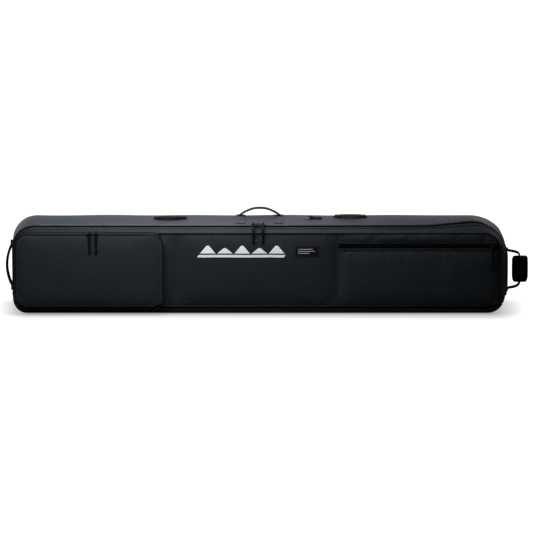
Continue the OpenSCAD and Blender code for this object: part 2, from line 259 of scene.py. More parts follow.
def rounded_path(corners: Sequence[Sequence[float]], count: int) -> np.ndarray:
    """Gives a smooth path that starts and ends at the outer points and leans to the inner ones."""
    path = np.array(corners, float)
    for _ in range(3):
        cut = np.empty((2 * (len(path) - 1), 3))
        cut[0::2] = 0.75 * path[:-1] + 0.25 * path[1:]
        cut[1::2] = 0.25 * path[:-1] + 0.75 * path[1:]
        path = np.vstack([path[:1], cut, path[-1:]])
    return resample(path, count)


def round_section(radius: float, sides: int = 10) -> np.ndarray:
    """Gives a closed circle, as rows of two."""
    turn = np.linspace(0, FULL_TURN, sides + 1)
    return np.stack([radius * np.cos(turn), radius * np.sin(turn)], axis=1)


def flat_section(width: float, thickness: float, belly: float = 0.0) -> np.ndarray:
    """Gives webbing's section, with rounded edges, as closed rows of two.

    Args:
        width: Across the strap.
        thickness: Through it.
        belly: How much thicker it is in the middle.

    Returns:
        The section, width first.
    """
    edge = thickness / 2
    turn = np.linspace(-math.pi / 2, math.pi / 2, 5)
    right = np.stack([width / 2 - edge + edge * np.cos(turn), edge * np.sin(turn)], axis=1)
    top = np.stack([np.linspace(width / 2 - edge, edge - width / 2, 6)[1:-1], np.full(4, edge)], axis=1)
    top[:, 1] += belly * (1 - (2 * top[:, 0] / width) ** 2)
    half = np.vstack([right, top])
    return np.vstack([half, -half, half[:1]])


def sweep(name: str, path: np.ndarray, section: np.ndarray, side: Sequence[float],
          closed: bool = False) -> bpy.types.Object:
    """Runs a section along a path and closes its ends.

    Args:
        name: The piece's name.
        path: The path's points, as rows. A closed one ends where it starts.
        section: Closed rows of two: along side, and along the path's normal.
        side: The direction of the section's width.
        closed: Whether the path is a ring.

    Returns:
        The new object.
    """
    ahead = np.gradient(path, axis=0)
    if closed:
        ahead[0] = ahead[-1] = path[1] - path[-2]
    ahead /= np.linalg.norm(ahead, axis=1, keepdims=True)
    across = np.broadcast_to(np.array(side, float), path.shape)
    across = across - ahead * np.sum(across * ahead, axis=1, keepdims=True)
    across /= np.linalg.norm(across, axis=1, keepdims=True)
    normal = np.cross(ahead, across)
    points = (path[:, None] + section[None, :, :1] * across[:, None] + section[None, :, 1:] * normal[:, None])
    if not closed:
        rim = np.repeat(path[[0, -1]][:, None], len(section), axis=1)
        points = np.concatenate([rim[:1], points, rim[1:]])
    obj = surface(name, points)
    close_up(obj)
    smooth(obj)
    return obj


def join(name: str, pieces: Sequence[bpy.types.Object]) -> bpy.types.Object:
    """Joins pieces into one object."""
    deselect_all()
    for piece in pieces:
        piece.select_set(True)
    bpy.context.view_layer.objects.active = pieces[0]
    bpy.ops.object.join()
    return new_piece(name)


def block(name: str, low: Sequence[float], high: Sequence[float], bevel: float,
          taper: Optional[tuple[int, float]] = None, groove: float = 0.0) -> bpy.types.Object:
    """Models a moulded block with softened edges.

    Args:
        name: The piece's name.
        low: Its lowest corner.
        high: Its highest corner.
        bevel: How wide its edges are softened.
        taper: An axis and how far the end on it is narrowed.
        groove: How deep the face towards -Y is let in.

    Returns:
        The new object.
    """
    low, high = np.array(low), np.array(high)
    deselect_all()
    bpy.ops.mesh.primitive_cube_add(size=1.0, location=(low + high) / 2, scale=high - low)
    obj = new_piece(name)
    if taper:
        axis, narrowing = taper
        points = coordinates(obj)
        middle = (low + high) / 2
        end = points[:, axis] > middle[axis]
        keep = points[end, axis].copy()
        points[end] = middle + (points[end] - middle) * narrowing
        points[end, axis] = keep
        set_coordinates(obj, points)
    bpy.ops.object.mode_set(mode="EDIT")
    if groove:
        bpy.ops.mesh.select_all(action="DESELECT")
        bpy.ops.object.mode_set(mode="OBJECT")
        for face in obj.data.polygons:
            face.select = face.normal.y < -0.9
        bpy.ops.object.mode_set(mode="EDIT")
        bpy.ops.mesh.inset(thickness=min(high[0] - low[0], high[2] - low[2]) * 0.22)
        bpy.ops.transform.translate(value=(0, groove, 0))
    bpy.ops.mesh.select_all(action="SELECT")
    bpy.ops.mesh.bevel(offset=bevel, segments=2, affect="EDGES")
    bpy.ops.object.mode_set(mode="OBJECT")
    smooth(obj, 40)
    return obj


def repeated(name: str, unit: bpy.types.Object, places: np.ndarray) -> bpy.types.Object:
    """Copies one small shape to many places, as one piece.

    Args:
        name: The new piece's name.
        unit: The shape, which is used up.
        places: One 4 x 4 matrix for each copy.

    Returns:
        The new object.
    """
    points = coordinates(unit)
    faces = [list(face.vertices) for face in unit.data.polygons]
    placed = np.einsum("kij,nj->kni", places[:, :3, :3], points) + places[:, None, :3, 3]
    shifted = [[v + k * len(points) for v in face] for k in range(len(places)) for face in faces]
    mesh = bpy.data.meshes.new(name)
    mesh.from_pydata(placed.reshape(-1, 3).tolist(), [], shifted)
    bpy.data.objects.remove(unit)
    obj = bpy.data.objects.new(name, mesh)
    bpy.context.collection.objects.link(obj)
    choose(obj)
    bpy.ops.object.shade_smooth()
    return obj


def frames_along(path: np.ndarray, up: np.ndarray, pitch: float) -> np.ndarray:
    """Gives evenly spaced frames on a path: X ahead, Z along up.

    Args:
        path: The path's points, as rows.
        up: The surface's normal, as one row or one for each point.
        pitch: The distance between frames.

    Returns:
        One 4 x 4 matrix for each frame.
    """
    up = np.broadcast_to(np.asarray(up, float), path.shape)
    length = np.linalg.norm(np.diff(path, axis=0), axis=1).sum()
    both = np.hstack([path, up])
    run = np.insert(np.cumsum(np.linalg.norm(np.diff(path, axis=0), axis=1)), 0, 0.0)
    at = np.arange(pitch / 2, length, pitch)
    rows = np.stack([np.interp(at, run, both[:, k]) for k in range(6)], axis=1)
    ahead = np.gradient(rows[:, :3], axis=0)
    ahead /= np.linalg.norm(ahead, axis=1, keepdims=True)
    side = np.cross(rows[:, 3:], ahead)
    side /= np.linalg.norm(side, axis=1, keepdims=True)
    places = np.tile(np.eye(4), (len(at), 1, 1))
    places[:, :3, 0], places[:, :3, 1], places[:, :3, 2] = ahead, side, np.cross(ahead, side)
    places[:, :3, 3] = rows[:, :3]
    return places


def laid_on(points: np.ndarray, target: bpy.types.Object, towards: Sequence[float],
            proud: float) -> np.ndarray:
    """Drops points on a piece.

    Args:
        points: The points, in any shape that ends in 3.
        target: The piece that they lie on.
        towards: The direction in which they drop.
        proud: How far above its surface they stay.

    Returns:
        The dropped points, in the same shape. One that misses stays where it is.
    """
    tree = BVHTree.FromObject(target, bpy.context.evaluated_depsgraph_get())
    drop = Vector(towards).normalized()
    flat = points.reshape(-1, 3).copy()
    for k, point in enumerate(flat):
        hit, _, _, _ = tree.ray_cast(Vector(point) - drop * 0.06, drop, 0.12)
        if hit:
            flat[k] = hit - drop * proud
    return flat.reshape(points.shape)


def puffed(obj: bpy.types.Object, lift: Sequence[float], cap: float, slack: float) -> None:
    """Lets a sheet of cloth, held at its edges, fill out under its padding.

    Args:
        obj: The sheet, still open, which the simulation reshapes.
        lift: The direction in which the padding presses.
        cap: The furthest that a point may move.
        slack: How much larger than its frame the cloth is cut.
    """
    rest = coordinates(obj)
    edge = np.zeros(len(rest), bool)
    uses = np.zeros(len(obj.data.edges), int)
    for face in obj.data.polygons:
        for key in face.loop_indices:
            uses[obj.data.loops[key].edge_index] += 1
    for index in np.flatnonzero(uses == 1):
        edge[list(obj.data.edges[index].vertices)] = True
    group = obj.vertex_groups.new(name="held")
    group.add([int(k) for k in np.flatnonzero(edge)], 1.0, "REPLACE")
    choose(obj)
    cloth = obj.modifiers.new("Cloth", "CLOTH")
    cloth.settings.vertex_group_mass = "held"
    cloth.settings.quality = 5
    cloth.settings.mass = 0.15
    cloth.settings.tension_stiffness = 25
    cloth.settings.compression_stiffness = 25
    cloth.settings.shear_stiffness = 12
    cloth.settings.bending_stiffness = 1.2
    cloth.settings.air_damping = 4
    cloth.settings.shrink_min = -slack
    cloth.collision_settings.use_collision = False
    scene = bpy.context.scene
    scene.gravity = Vector(lift).normalized() * GRAVITY
    for number in range(1, CLOTH_FRAMES + 1):
        scene.frame_set(number)
    bpy.ops.object.modifier_apply(modifier=cloth.name)
    scene.frame_set(1)
    moved = coordinates(obj) - rest
    size = np.linalg.norm(moved, axis=1, keepdims=True)
    soft = cap * np.tanh(size / cap) / np.maximum(size, 1e-9)
    set_coordinates(obj, rest + moved * soft)
    obj.vertex_groups.clear()


# ---- finishes ----
def add_node(tree: bpy.types.NodeTree, kind: str, inputs: Optional[dict] = None,
             **settings: object) -> bpy.types.Node:
    """Adds a shader node.

    Args:
        tree: The node tree.
        kind: The node's type, without its ShaderNode prefix.
        inputs: Values or output sockets by input name or number.
        settings: The node's properties.

    Returns:
        The node.
    """
    node = tree.nodes.new("ShaderNode" + kind)
    for key, value in settings.items():
        setattr(node, key, value)
    for key, value in (inputs or {}).items():
        if isinstance(value, bpy.types.NodeSocket):
            tree.links.new(value, node.inputs[key])
        else:
            node.inputs[key].default_value = value
    return node


def maths(tree: bpy.types.NodeTree, operation: str, *values: object) -> bpy.types.NodeSocket:
    """Adds a Math node on values or sockets and gives its output."""
    return add_node(tree, "Math", dict(enumerate(values)), operation=operation).outputs[0]


def start_group(name: str, inputs: dict, outputs: dict) -> tuple:
    """Starts a shared node group.

    Args:
        name: The group's name.
        inputs: Socket type and default by name.
        outputs: Socket type by name.

    Returns:
        The group, its input node and its output node.
    """
    tree = bpy.data.node_groups.new(name, "ShaderNodeTree")
    for key, (kind, value) in inputs.items():
        socket = tree.interface.new_socket(key, in_out="INPUT", socket_type=kind)
        if value is not None:
            socket.default_value = value
    for key, kind in outputs.items():
        tree.interface.new_socket(key, in_out="OUTPUT", socket_type=kind)
    return tree, tree.nodes.new("NodeGroupInput"), tree.nodes.new("NodeGroupOutput")


def thread_group() -> bpy.types.NodeTree:
    """Builds the woven threads: their height and how each yarn's shade differs."""
    tree, given, result = start_group(
        "woven_threads",
        {"UV": ("NodeSocketVector", None), "Pitch": ("NodeSocketFloat", 0.001),
         "Rib": ("NodeSocketFloat", 0.0)},
        {"Height": "NodeSocketFloat", "Yarn": "NodeSocketFloat"})
    parts = add_node(tree, "SeparateXYZ", {0: given.outputs["UV"]})
    rate = maths(tree, "DIVIDE", FULL_TURN, given.outputs["Pitch"])
    warp = maths(tree, "SINE", maths(tree, "MULTIPLY", parts.outputs[0], rate))
    weft = maths(tree, "SINE", maths(tree, "MULTIPLY", parts.outputs[1], rate))
    plain = maths(tree, "MULTIPLY_ADD", maths(tree, "MULTIPLY", warp, weft), 0.5, 0.5)
    slant = maths(tree, "ADD", maths(tree, "MULTIPLY", parts.outputs[0], rate),
                  maths(tree, "MULTIPLY", parts.outputs[1], maths(tree, "MULTIPLY", rate, 0.5)))
    rib = maths(tree, "ABSOLUTE", maths(tree, "SINE", maths(tree, "MULTIPLY", slant, 0.5)))
    height = add_node(tree, "Mix", {0: given.outputs["Rib"], 2: plain, 3: rib})
    tree.links.new(height.outputs[0], result.inputs["Height"])
    stretched = add_node(tree, "VectorMath", {0: given.outputs["UV"], 1: (30, 900, 1)}, operation="MULTIPLY")
    yarn = add_node(tree, "TexNoise", {"Vector": stretched.outputs[0], "Scale": 1.0, "Detail": 2.0})
    tree.links.new(yarn.outputs[0], result.inputs["Yarn"])
    return tree


def handling_group() -> bpy.types.NodeTree:
    """Builds the marks of use: soft patches where the cloth is rubbed, and fine dust."""
    tree, given, result = start_group(
        "marks_of_use",
        {"Place": ("NodeSocketVector", None), "Amount": ("NodeSocketFloat", 0.5)},
        {"Rub": "NodeSocketFloat", "Dust": "NodeSocketFloat"})
    broad = add_node(tree, "TexNoise", {"Vector": given.outputs["Place"], "Scale": 5.0, "Detail": 4.0})
    rub = add_node(tree, "MapRange", {0: broad.outputs[0], 1: 0.42, 2: 0.68, 3: 0.0, 4: 1.0})
    tree.links.new(maths(tree, "MULTIPLY", rub.outputs[0], given.outputs["Amount"]), result.inputs["Rub"])
    fine = add_node(tree, "TexNoise", {"Vector": given.outputs["Place"], "Scale": 240.0, "Detail": 3.0})
    speck = add_node(tree, "MapRange", {0: fine.outputs[0], 1: 0.58, 2: 0.8, 3: 0.0, 4: 1.0})
    dust = maths(tree, "MULTIPLY", speck.outputs[0], maths(tree, "ADD", rub.outputs[0], 0.3))
    tree.links.new(maths(tree, "MULTIPLY", dust, given.outputs["Amount"]), result.inputs["Dust"])
    return tree


GROUPS: dict[str, bpy.types.NodeTree] = {}


def use_group(tree: bpy.types.NodeTree, builder: Callable[[], bpy.types.NodeTree],
              inputs: dict) -> bpy.types.Node:
    """Places a shared group in a material, and builds it the first time."""
    if builder.__name__ not in GROUPS:
        GROUPS[builder.__name__] = builder()
    node = tree.nodes.new("ShaderNodeGroup")
    node.node_tree = GROUPS[builder.__name__]
    for key, value in inputs.items():
        if isinstance(value, bpy.types.NodeSocket):
            tree.links.new(value, node.inputs[key])
        else:
            node.inputs[key].default_value = value
    return node


Colour = tuple[float, float, float]


@dataclass(frozen=True)
class Finish:
    """What every finish has: a name, the material slot that it stands for, and its two shades."""

    name: str
    slot: str
    dark: Colour
    light: Colour
    roughness: float = 0.6
    wear: float = 0.5

    def start(self) -> tuple:
        """Starts the material and gives it, its tree, its shader and its marks of use."""
        material = bpy.data.materials.new(self.name)
        material.use_nodes = True
        tree = material.node_tree
        shader = tree.nodes["Principled BSDF"]
        place = add_node(tree, "TexCoord").outputs["Object"]
        marks = use_group(tree, handling_group, {"Place": place, "Amount": self.wear})
        return material, tree, shader, marks

    def colour(self, tree: bpy.types.NodeTree, factor: object, marks: bpy.types.Node,
               dust: Colour = (0.16, 0.16, 0.165)) -> bpy.types.NodeSocket:
        """Mixes the two shades, and lays dust over them.

        Args:
            tree: The material's tree.
            factor: The socket that mixes the shades.
            marks: The marks of use.
            dust: The dust's colour.

        Returns:
            The colour's socket.
        """
        mixed = add_node(tree, "Mix", {0: factor, 6: (*self.dark, 1), 7: (*self.light, 1)}, data_type="RGBA")
        thin = maths(tree, "MULTIPLY", marks.outputs["Dust"], 0.3)
        return add_node(tree, "Mix", {0: thin, 6: mixed.outputs[2], 7: (*dust, 1)},
                        data_type="RGBA").outputs[2]


@dataclass(frozen=True)
class Cloth(Finish):
    """Woven cloth or webbing."""

    pitch: float = 0.0011
    weave: Weave = Weave.PLAIN
    relief: float = 0.25
    sheen: float = 0.12
    specular: float = 0.35
    sheen_tint: Colour = (0.75, 0.85, 1.0)

    def material(self) -> bpy.types.Material:
        """Builds the material."""
        material, tree, shader, marks = self.start()
        run = add_node(tree, "TexCoord").outputs["UV"]
        threads = use_group(tree, thread_group, {"UV": run, "Pitch": self.pitch, "Rib": self.weave.value})
        shade = maths(tree, "MULTIPLY_ADD", threads.outputs["Height"], 0.35,
                      maths(tree, "MULTIPLY", threads.outputs["Yarn"], 0.45))
        shade = maths(tree, "MULTIPLY_ADD", marks.outputs["Rub"], 0.4, shade)
        links = tree.links
        links.new(self.colour(tree, shade, marks), shader.inputs["Base Color"])
        links.new(maths(tree, "MULTIPLY_ADD", marks.outputs["Rub"], -0.1, self.roughness),
                  shader.inputs["Roughness"])
        height = maths(tree, "MULTIPLY_ADD", threads.outputs["Yarn"], 0.5, threads.outputs["Height"])
        bump = add_node(tree, "Bump", {"Height": height, "Strength": self.relief, "Distance": 0.0006})
        links.new(bump.outputs[0], shader.inputs["Normal"])
        shader.inputs["Sheen Weight"].default_value = self.sheen
        shader.inputs["Sheen Roughness"].default_value = 0.45
        shader.inputs["Sheen Tint"].default_value = (*self.sheen_tint, 1)
        shader.inputs["Specular IOR Level"].default_value = self.specular
        return material


@dataclass(frozen=True)
class Moulded(Finish):
    """Moulded plastic, rubber, foam or print, with a fine grain."""

    grain: float = 900.0
    relief: float = 0.15
    specular: float = 0.5

    def material(self) -> bpy.types.Material:
        """Builds the material."""
        material, tree, shader, marks = self.start()
        place = add_node(tree, "TexCoord").outputs["Object"]
        grain = add_node(tree, "TexNoise", {"Vector": place, "Scale": self.grain, "Detail": 3.0}).outputs[0]
        shade = maths(tree, "MULTIPLY_ADD", grain, 0.5, maths(tree, "MULTIPLY", marks.outputs["Rub"], 0.5))
        tree.links.new(self.colour(tree, shade, marks), shader.inputs["Base Color"])
        tree.links.new(maths(tree, "MULTIPLY_ADD", grain, 0.15, self.roughness), shader.inputs["Roughness"])
        bump = add_node(tree, "Bump", {"Height": grain, "Strength": self.relief, "Distance": 0.0004})
        tree.links.new(bump.outputs[0], shader.inputs["Normal"])
        shader.inputs["Specular IOR Level"].default_value = self.specular
        return material


@dataclass(frozen=True)
class Metal(Finish):
    """Dark coated metal, brighter where it is rubbed."""

    scratches: float = 700.0

    def material(self) -> bpy.types.Material:
        """Builds the material."""
        material, tree, shader, marks = self.start()
        place = add_node(tree, "TexCoord").outputs["Object"]
        drawn = add_node(tree, "Mapping", {"Vector": place, "Scale": (1.0, 0.15, 1.0)}).outputs[0]
        scratch = add_node(tree, "TexNoise",
                           {"Vector": drawn, "Scale": self.scratches, "Detail": 4.0}).outputs[0]
        shade = maths(tree, "MULTIPLY_ADD", marks.outputs["Rub"], 0.6, maths(tree, "MULTIPLY", scratch, 0.4))
        tree.links.new(self.colour(tree, shade, marks), shader.inputs["Base Color"])
        tree.links.new(maths(tree, "MULTIPLY_ADD", scratch, 0.25, self.roughness), shader.inputs["Roughness"])
        bump = add_node(tree, "Bump", {"Height": scratch, "Strength": 0.1, "Distance": 0.0002})
        tree.links.new(bump.outputs[0], shader.inputs["Normal"])
        shader.inputs["Metallic"].default_value = 0.85
        return material


class Finishes:
    """The bag's finishes, each built once."""

    def __init__(self) -> None:
        """Lists the finishes by the name that the pieces use."""
        self.kinds: dict[str, Finish] = {kind.name: kind for kind in (
            Cloth("gusset_cloth", "body_fabric", (0.0055, 0.0080, 0.0122), (0.0138, 0.0195, 0.029), 0.48,
                  sheen=0.12, specular=0.5),
            # Painted shade: the band is the gusset's cloth (the same slot) with colours about three times
            # darker, a shaded copy of one material.
            Cloth("band_cloth_painted_shade", "body_fabric", (0.0016, 0.0028, 0.0052), (0.0044, 0.0072, 0.0130), 0.55,
                  sheen=0.04, specular=0.22),
            Cloth("base_cloth", "base_fabric", (0.006, 0.007, 0.009), (0.014, 0.016, 0.019), 0.6,
                  pitch=0.0016,
                  sheen=0.05, specular=0.2),
            Cloth("front_cloth", "panel_fabric", (0.0080, 0.0107, 0.0136), (0.0195, 0.0247, 0.0305), 0.62,
                  sheen=0.02, specular=0.14),
            Cloth("piping_cloth", "piping", (0.0015, 0.0016, 0.0020), (0.0045, 0.0050, 0.0062), 0.55,
                  pitch=0.0009,
                  sheen=0.02, specular=0.12),
            Cloth("lining_cloth", "lining", (0.030, 0.035, 0.043), (0.055, 0.061, 0.073), 0.6, pitch=0.0008),
            Cloth("tape_cloth", "zip_tape", (0.0010, 0.0010, 0.0013), (0.0035, 0.0035, 0.0042), 0.8,
                  pitch=0.0009, sheen=0.0, specular=0.03),
            Cloth("strap_webbing", "webbing", (0.002, 0.002, 0.0025), (0.008, 0.008, 0.009), 0.65,
                  pitch=0.0026, weave=Weave.RIB, relief=0.6, sheen=0.02, specular=0.15),
            Cloth("grab_webbing", "grab_webbing", (0.005, 0.0038, 0.0034), (0.014, 0.011, 0.0098), 0.7,
                  pitch=0.0026, weave=Weave.RIB, relief=0.6, sheen=0.03, specular=0.1,
                  sheen_tint=(1.0, 0.92, 0.8)),
            Cloth("wrap_cloth", "wrap_fabric", (0.0012, 0.0012, 0.0015), (0.005, 0.005, 0.006), 0.65,
                  pitch=0.0013, sheen=0.02, specular=0.12),
            Cloth("label_cloth", "label", (0.0015, 0.0015, 0.002), (0.004, 0.004, 0.005), 0.65, pitch=0.0006,
                  sheen=0.0, specular=0.1),
            Cloth("thread", "body_fabric", (0.010, 0.011, 0.013), (0.030, 0.032, 0.037), 0.55, pitch=0.0006,
                  sheen=0.05, specular=0.3),
            Moulded("coil_plastic", "zip_tape", (0.0012, 0.0012, 0.0015), (0.0045, 0.0045, 0.005), 0.6,
                    specular=0.08),
            Moulded("buckle_moulding", "buckle_plastic", (0.008, 0.008, 0.009), (0.018, 0.018, 0.020), 0.45),
            Moulded("pull_moulding", "pull_rubber", (0.0012, 0.0012, 0.0014), (0.0045, 0.0045, 0.005), 0.55,
                    specular=0.12),
            Moulded("white_print", "print", (0.70, 0.70, 0.69), (0.90, 0.90, 0.90), 0.5, 0.3, grain=1500.0),
            Moulded("label_thread", "label", (0.28, 0.28, 0.29), (0.45, 0.45, 0.46), 0.7, grain=2200.0),
            Metal("slider_metal", "metal", (0.012, 0.012, 0.014), (0.06, 0.06, 0.065), 0.32),
            Metal("ring_metal", "metal", (0.10, 0.10, 0.11), (0.32, 0.32, 0.34), 0.28))}
        self.made: dict[str, bpy.types.Material] = {}

    def material(self, name: str) -> bpy.types.Material:
        """Gives a finish's material."""
        if name not in self.made:
            self.made[name] = self.kinds[name].material()
        return self.made[name]


@dataclass
class Workbench:
    """Dresses the finished pieces and hands them to the frame."""

    finishes: Finishes
    stitches: dict = field(default_factory=dict)

    def hand_over(self, piece: bpy.types.Object, body: str, finish: str, *replaced: str,
                  inner: Optional[str] = None, fill: Optional[float] = None,
                  folds: bool = False, bends: Optional[tuple] = None) -> bpy.types.Object:
        """Gives a piece its finish and its place in the frame.

        Args:
            piece: The finished piece.
            body: The body that it rides on.
            finish: Its finish.
            replaced: The CAD nodes that it stands for.
            inner: The finish of its inner face, if it has one.
            fill: How full it is, if it is padded. Not used.
            folds: Whether it gets a mesh of its own; nothing here flattens it.
            bends: Where it leaves the bag and where it follows its body, for webbing sewn to both. Only
                whether it is given is read: such a piece keeps its place and is attached to no body.

        Returns:
            The piece.
        """
        piece.data.materials.clear()
        for name in filter(None, (finish, inner)):
            piece.data.materials.append(self.finishes.material(name))
        if bends:
            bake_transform(piece)
        else:
            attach(piece, body)
        if replaced:
            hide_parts(*replaced)
        if folds:
            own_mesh(piece)
        LOG.info("%s: %d faces, on %s, in %s", piece.name, len(piece.data.polygons), body, finish)
        return piece

    def sew(self, body: str, path: np.ndarray, up: Sequence[float], pitch: float = 0.0046) -> None:
        """Adds a row of stitches on a body, to be made at the end."""
        self.stitches.setdefault(body, []).append(frames_along(resample(path, 400), up, pitch))

    def box_cross(self, body: str, corners: np.ndarray, up: Sequence[float],
                  target: Optional[bpy.types.Object] = None) -> None:
        """Sews a box with a cross in it, as at a strap's foot.

        Args:
            body: The body.
            corners: Four corners in order.
            up: The surface's normal.
            target: The piece that the stitches are laid on.
        """
        ends = [(0, 1), (1, 2), (2, 3), (3, 0), (0, 2), (1, 3)]
        for first, last in ends:
            path = np.linspace(corners[first], corners[last], 12)
            if target:
                path = laid_on(path, target, -np.array(up), 0.0002)
            self.sew(body, path, up, 0.0036)

    def make_stitches(self) -> None:
        """Makes each body's stitches as one piece."""
        for body, rows in self.stitches.items():
            deselect_all()
            bpy.ops.mesh.primitive_cylinder_add(vertices=6, radius=0.00042, depth=0.0030,
                                                rotation=(0, math.pi / 2, 0))
            unit = new_piece("stitch")
            bpy.ops.object.mode_set(mode="EDIT")
            bpy.ops.mesh.select_all(action="SELECT")
            bpy.ops.transform.resize(value=(1, 1.5, 1), center_override=(0, 0, 0))
            bpy.ops.object.mode_set(mode="OBJECT")
            piece = repeated(body + "_stitching", unit, np.concatenate(rows))
            self.hand_over(piece, body, "thread", folds=body == "pocket_door")


# ---- the bag's form ----
@dataclass(frozen=True)
class BagForm:
    """The outer form that every shell follows."""

    half_length: float = 0.865
    front: float = -0.095
    back: float = 0.095
    height: float = 0.326
    crest: float = 0.030
    waist: float = 0.010
    crown_front: float = 0.0384
    crown_back: float = 0.028
    end_pull: float = 0.028
    bottom_radius: float = 0.027
    front_corners: tuple = (0.058, 0.060, 0.032, 0.032)
    waist_corners: tuple = (0.143, 0.090, 0.050, 0.104)
    back_corners: tuple = (0.080, 0.070, 0.050, 0.070)
    zip_drift: float = 0.028

    def crown(self, y: float) -> float:
        """Height of the top at a depth."""
        if y < self.crest:
            return self.height - self.crown_front * ((self.crest - y) / (self.crest - self.front)) ** 1.86
        return self.height - self.crown_back * ((y - self.crest) / (self.back - self.crest)) ** 2

    def end(self, y: float) -> float:
        """How far the ends reach at a depth."""
        return self.half_length - self.end_pull * (abs(y - self.waist) / (self.waist - self.front)) ** 4

    def floor(self, y: float) -> float:
        """Height of the base at a depth, with its rounded edges."""
        inside = min(y - self.front, self.back - y, self.bottom_radius)
        short = self.bottom_radius - max(inside, 0.0)
        return self.bottom_radius - math.sqrt(max(self.bottom_radius ** 2 - short ** 2, 0.0))

    def corners(self, y: float) -> list[float]:
        """Radii of the four corners at a depth: top right, top left, bottom left, bottom right."""
        reach = self.waist - self.front if y < self.waist else self.back - self.waist
        share = min(abs(y - self.waist) / reach, 1.0) ** 2
        ends = self.front_corners if y < self.waist else self.back_corners
        return [full + (end - full) * share for full, end in zip(self.waist_corners, ends)]

    def loop(self, y: float, offset: float = 0.0) -> np.ndarray:
        """Gives the outline at a depth, from the middle of the base and to the right.

        Args:
            y: The depth.
            offset: How far outside the form.

        Returns:
            Closed rows of x and z.
        """
        right, top, low = self.end(y) + offset, self.crown(y) + offset, self.floor(y) - offset
        return rounded_loop(-right, right, low, top, [r + offset for r in self.corners(y)])

    def part(self, y: float, part: Part, count: int, offset: float = 0.0, split: float = 0.030) -> np.ndarray:
        """Gives a stretch of the outline.

        Args:
            y: The depth.
            part: Which stretch.
            count: How many points.
            offset: How far outside the form.
            split: The height where the upper and the lower stretch meet.

        Returns:
            Rows of x and z.
        """
        loop = self.loop(y, offset)
        if part is Part.WHOLE:
            return resample(loop, count)
        above = loop[:, 1] >= split
        first, last = int(np.argmax(above)), len(above) - 1 - int(np.argmax(above[::-1]))
        start = crossing(loop[first - 1], loop[first], split)
        stop = crossing(loop[last], loop[last + 1], split)
        if part is Part.UPPER:
            return resample(np.vstack([start, loop[first:last + 1], stop]), count)
        return resample(np.vstack([stop, loop[last + 1:], loop[:first], start]), count)

    def shell(self, depths: Sequence[float], part: Part, count: int, offset: float = 0.0,
              split: float = 0.030) -> np.ndarray:
        """Lofts a stretch of the outline over several depths, given from back to front.

        Args:
            depths: The depths.
            part: Which stretch.
            count: Points along it.
            offset: How far outside the form.
            split: Where the upper and the lower stretch meet.

        Returns:
            The surface, as (count, depths, 3), facing outwards.
        """
        steps = np.linspace(self.front, self.back, 77)
        table = np.stack([self.part(y, part, count, offset, split) for y in steps])
        rows = []
        for y in depths:
            flat = self.part(y, part, count, offset, split)
            moved = np.clip(y + self.drift(flat, y), self.front, self.back)
            x, z = (np.array([np.interp(moved[k], steps, table[:, k, axis]) for k in range(count)])
                    for axis in (0, 1))
            still = moved == y
            x[still], z[still] = flat[still, 0], flat[still, 1]
            rows.append(np.stack([x, moved, z], axis=1))
        return np.stack(rows, axis=1)

    def drift(self, flat: np.ndarray, y: float) -> np.ndarray:
        """Gives how far back the zipper's line swings towards the top right corner.

        Args:
            flat: Rows of x and z.
            y: Their depth.

        Returns:
            The shift for each row.
        """
        near = np.interp(y, (self.front, -0.062, -0.045, 0.030), (0, 1, 1, 0))
        share = np.clip((flat[:, 0] - 0.56) / 0.22, 0, 1)
        high = np.clip((flat[:, 1] - 0.030) / 0.060, 0, 1)
        return self.zip_drift * near * share ** 2 * (3 - 2 * share) * high ** 2 * (3 - 2 * high)


def crossing(a: np.ndarray, b: np.ndarray, height: float) -> np.ndarray:
    """Gives the point between two where the height is reached."""
    share = (height - a[1]) / (b[1] - a[1]) if b[1] != a[1] else 0.0
    return a + (b - a) * share


def rounded_loop(x0: float, x1: float, z0: float, z1: float, radii: Sequence[float]) -> np.ndarray:
    """Gives a rounded rectangle, from the middle of its base and to the right.

    Args:
        x0: Left.
        x1: Right.
        z0: Bottom.
        z1: Top.
        radii: Top right, top left, bottom left, bottom right.

    Returns:
        Closed rows of x and z, evenly spaced.
    """
    tr, tl, bl, br = (max(r, 0.001) for r in radii)
    turns = ((x1 - br, z0 + br, br, -90), (x1 - tr, z1 - tr, tr, 0),
             (x0 + tl, z1 - tl, tl, 90), (x0 + bl, z0 + bl, bl, 180))
    middle = ((x0 + x1) / 2, z0)
    rows = [middle]
    for x, z, r, start in turns:
        for turn in np.radians(np.linspace(start, start + 90, 19)):
            rows.append((x + r * math.cos(turn), z + r * math.sin(turn)))
    rows.append(middle)
    return resample(np.array(rows), 1500)


def in_depth(flat: np.ndarray, y: float) -> np.ndarray:
    """Puts rows of x and z at a depth."""
    return np.stack([flat[:, 0], np.full(len(flat), y), flat[:, 1]], axis=1)


def relief(points: np.ndarray, seams: Sequence[float], seed: int, height: float = 0.0012) -> np.ndarray:
    """Gives how a shell's cloth stands: broad sag, and puckers that die away from its seams.

    Args:
        points: The shell, as (along, depths, 3).
        seams: The depths of its seams.
        seed: Which unevenness.
        height: The sag's height.

    Returns:
        The amount for each point.
    """
    run = lengths(points, 0)
    y = points[..., 1]
    broad = waves(run, y, 0.24, seed) * height
    near = sum(np.exp(-np.abs(y - seam) / 0.012) for seam in seams)
    held = np.clip(1 - near, 0, 1)
    pucker = waves(run, y * 0.25, 0.034, seed + 1) * 0.0006 * near * (1 - near * 0.6)
    return broad * held + pucker


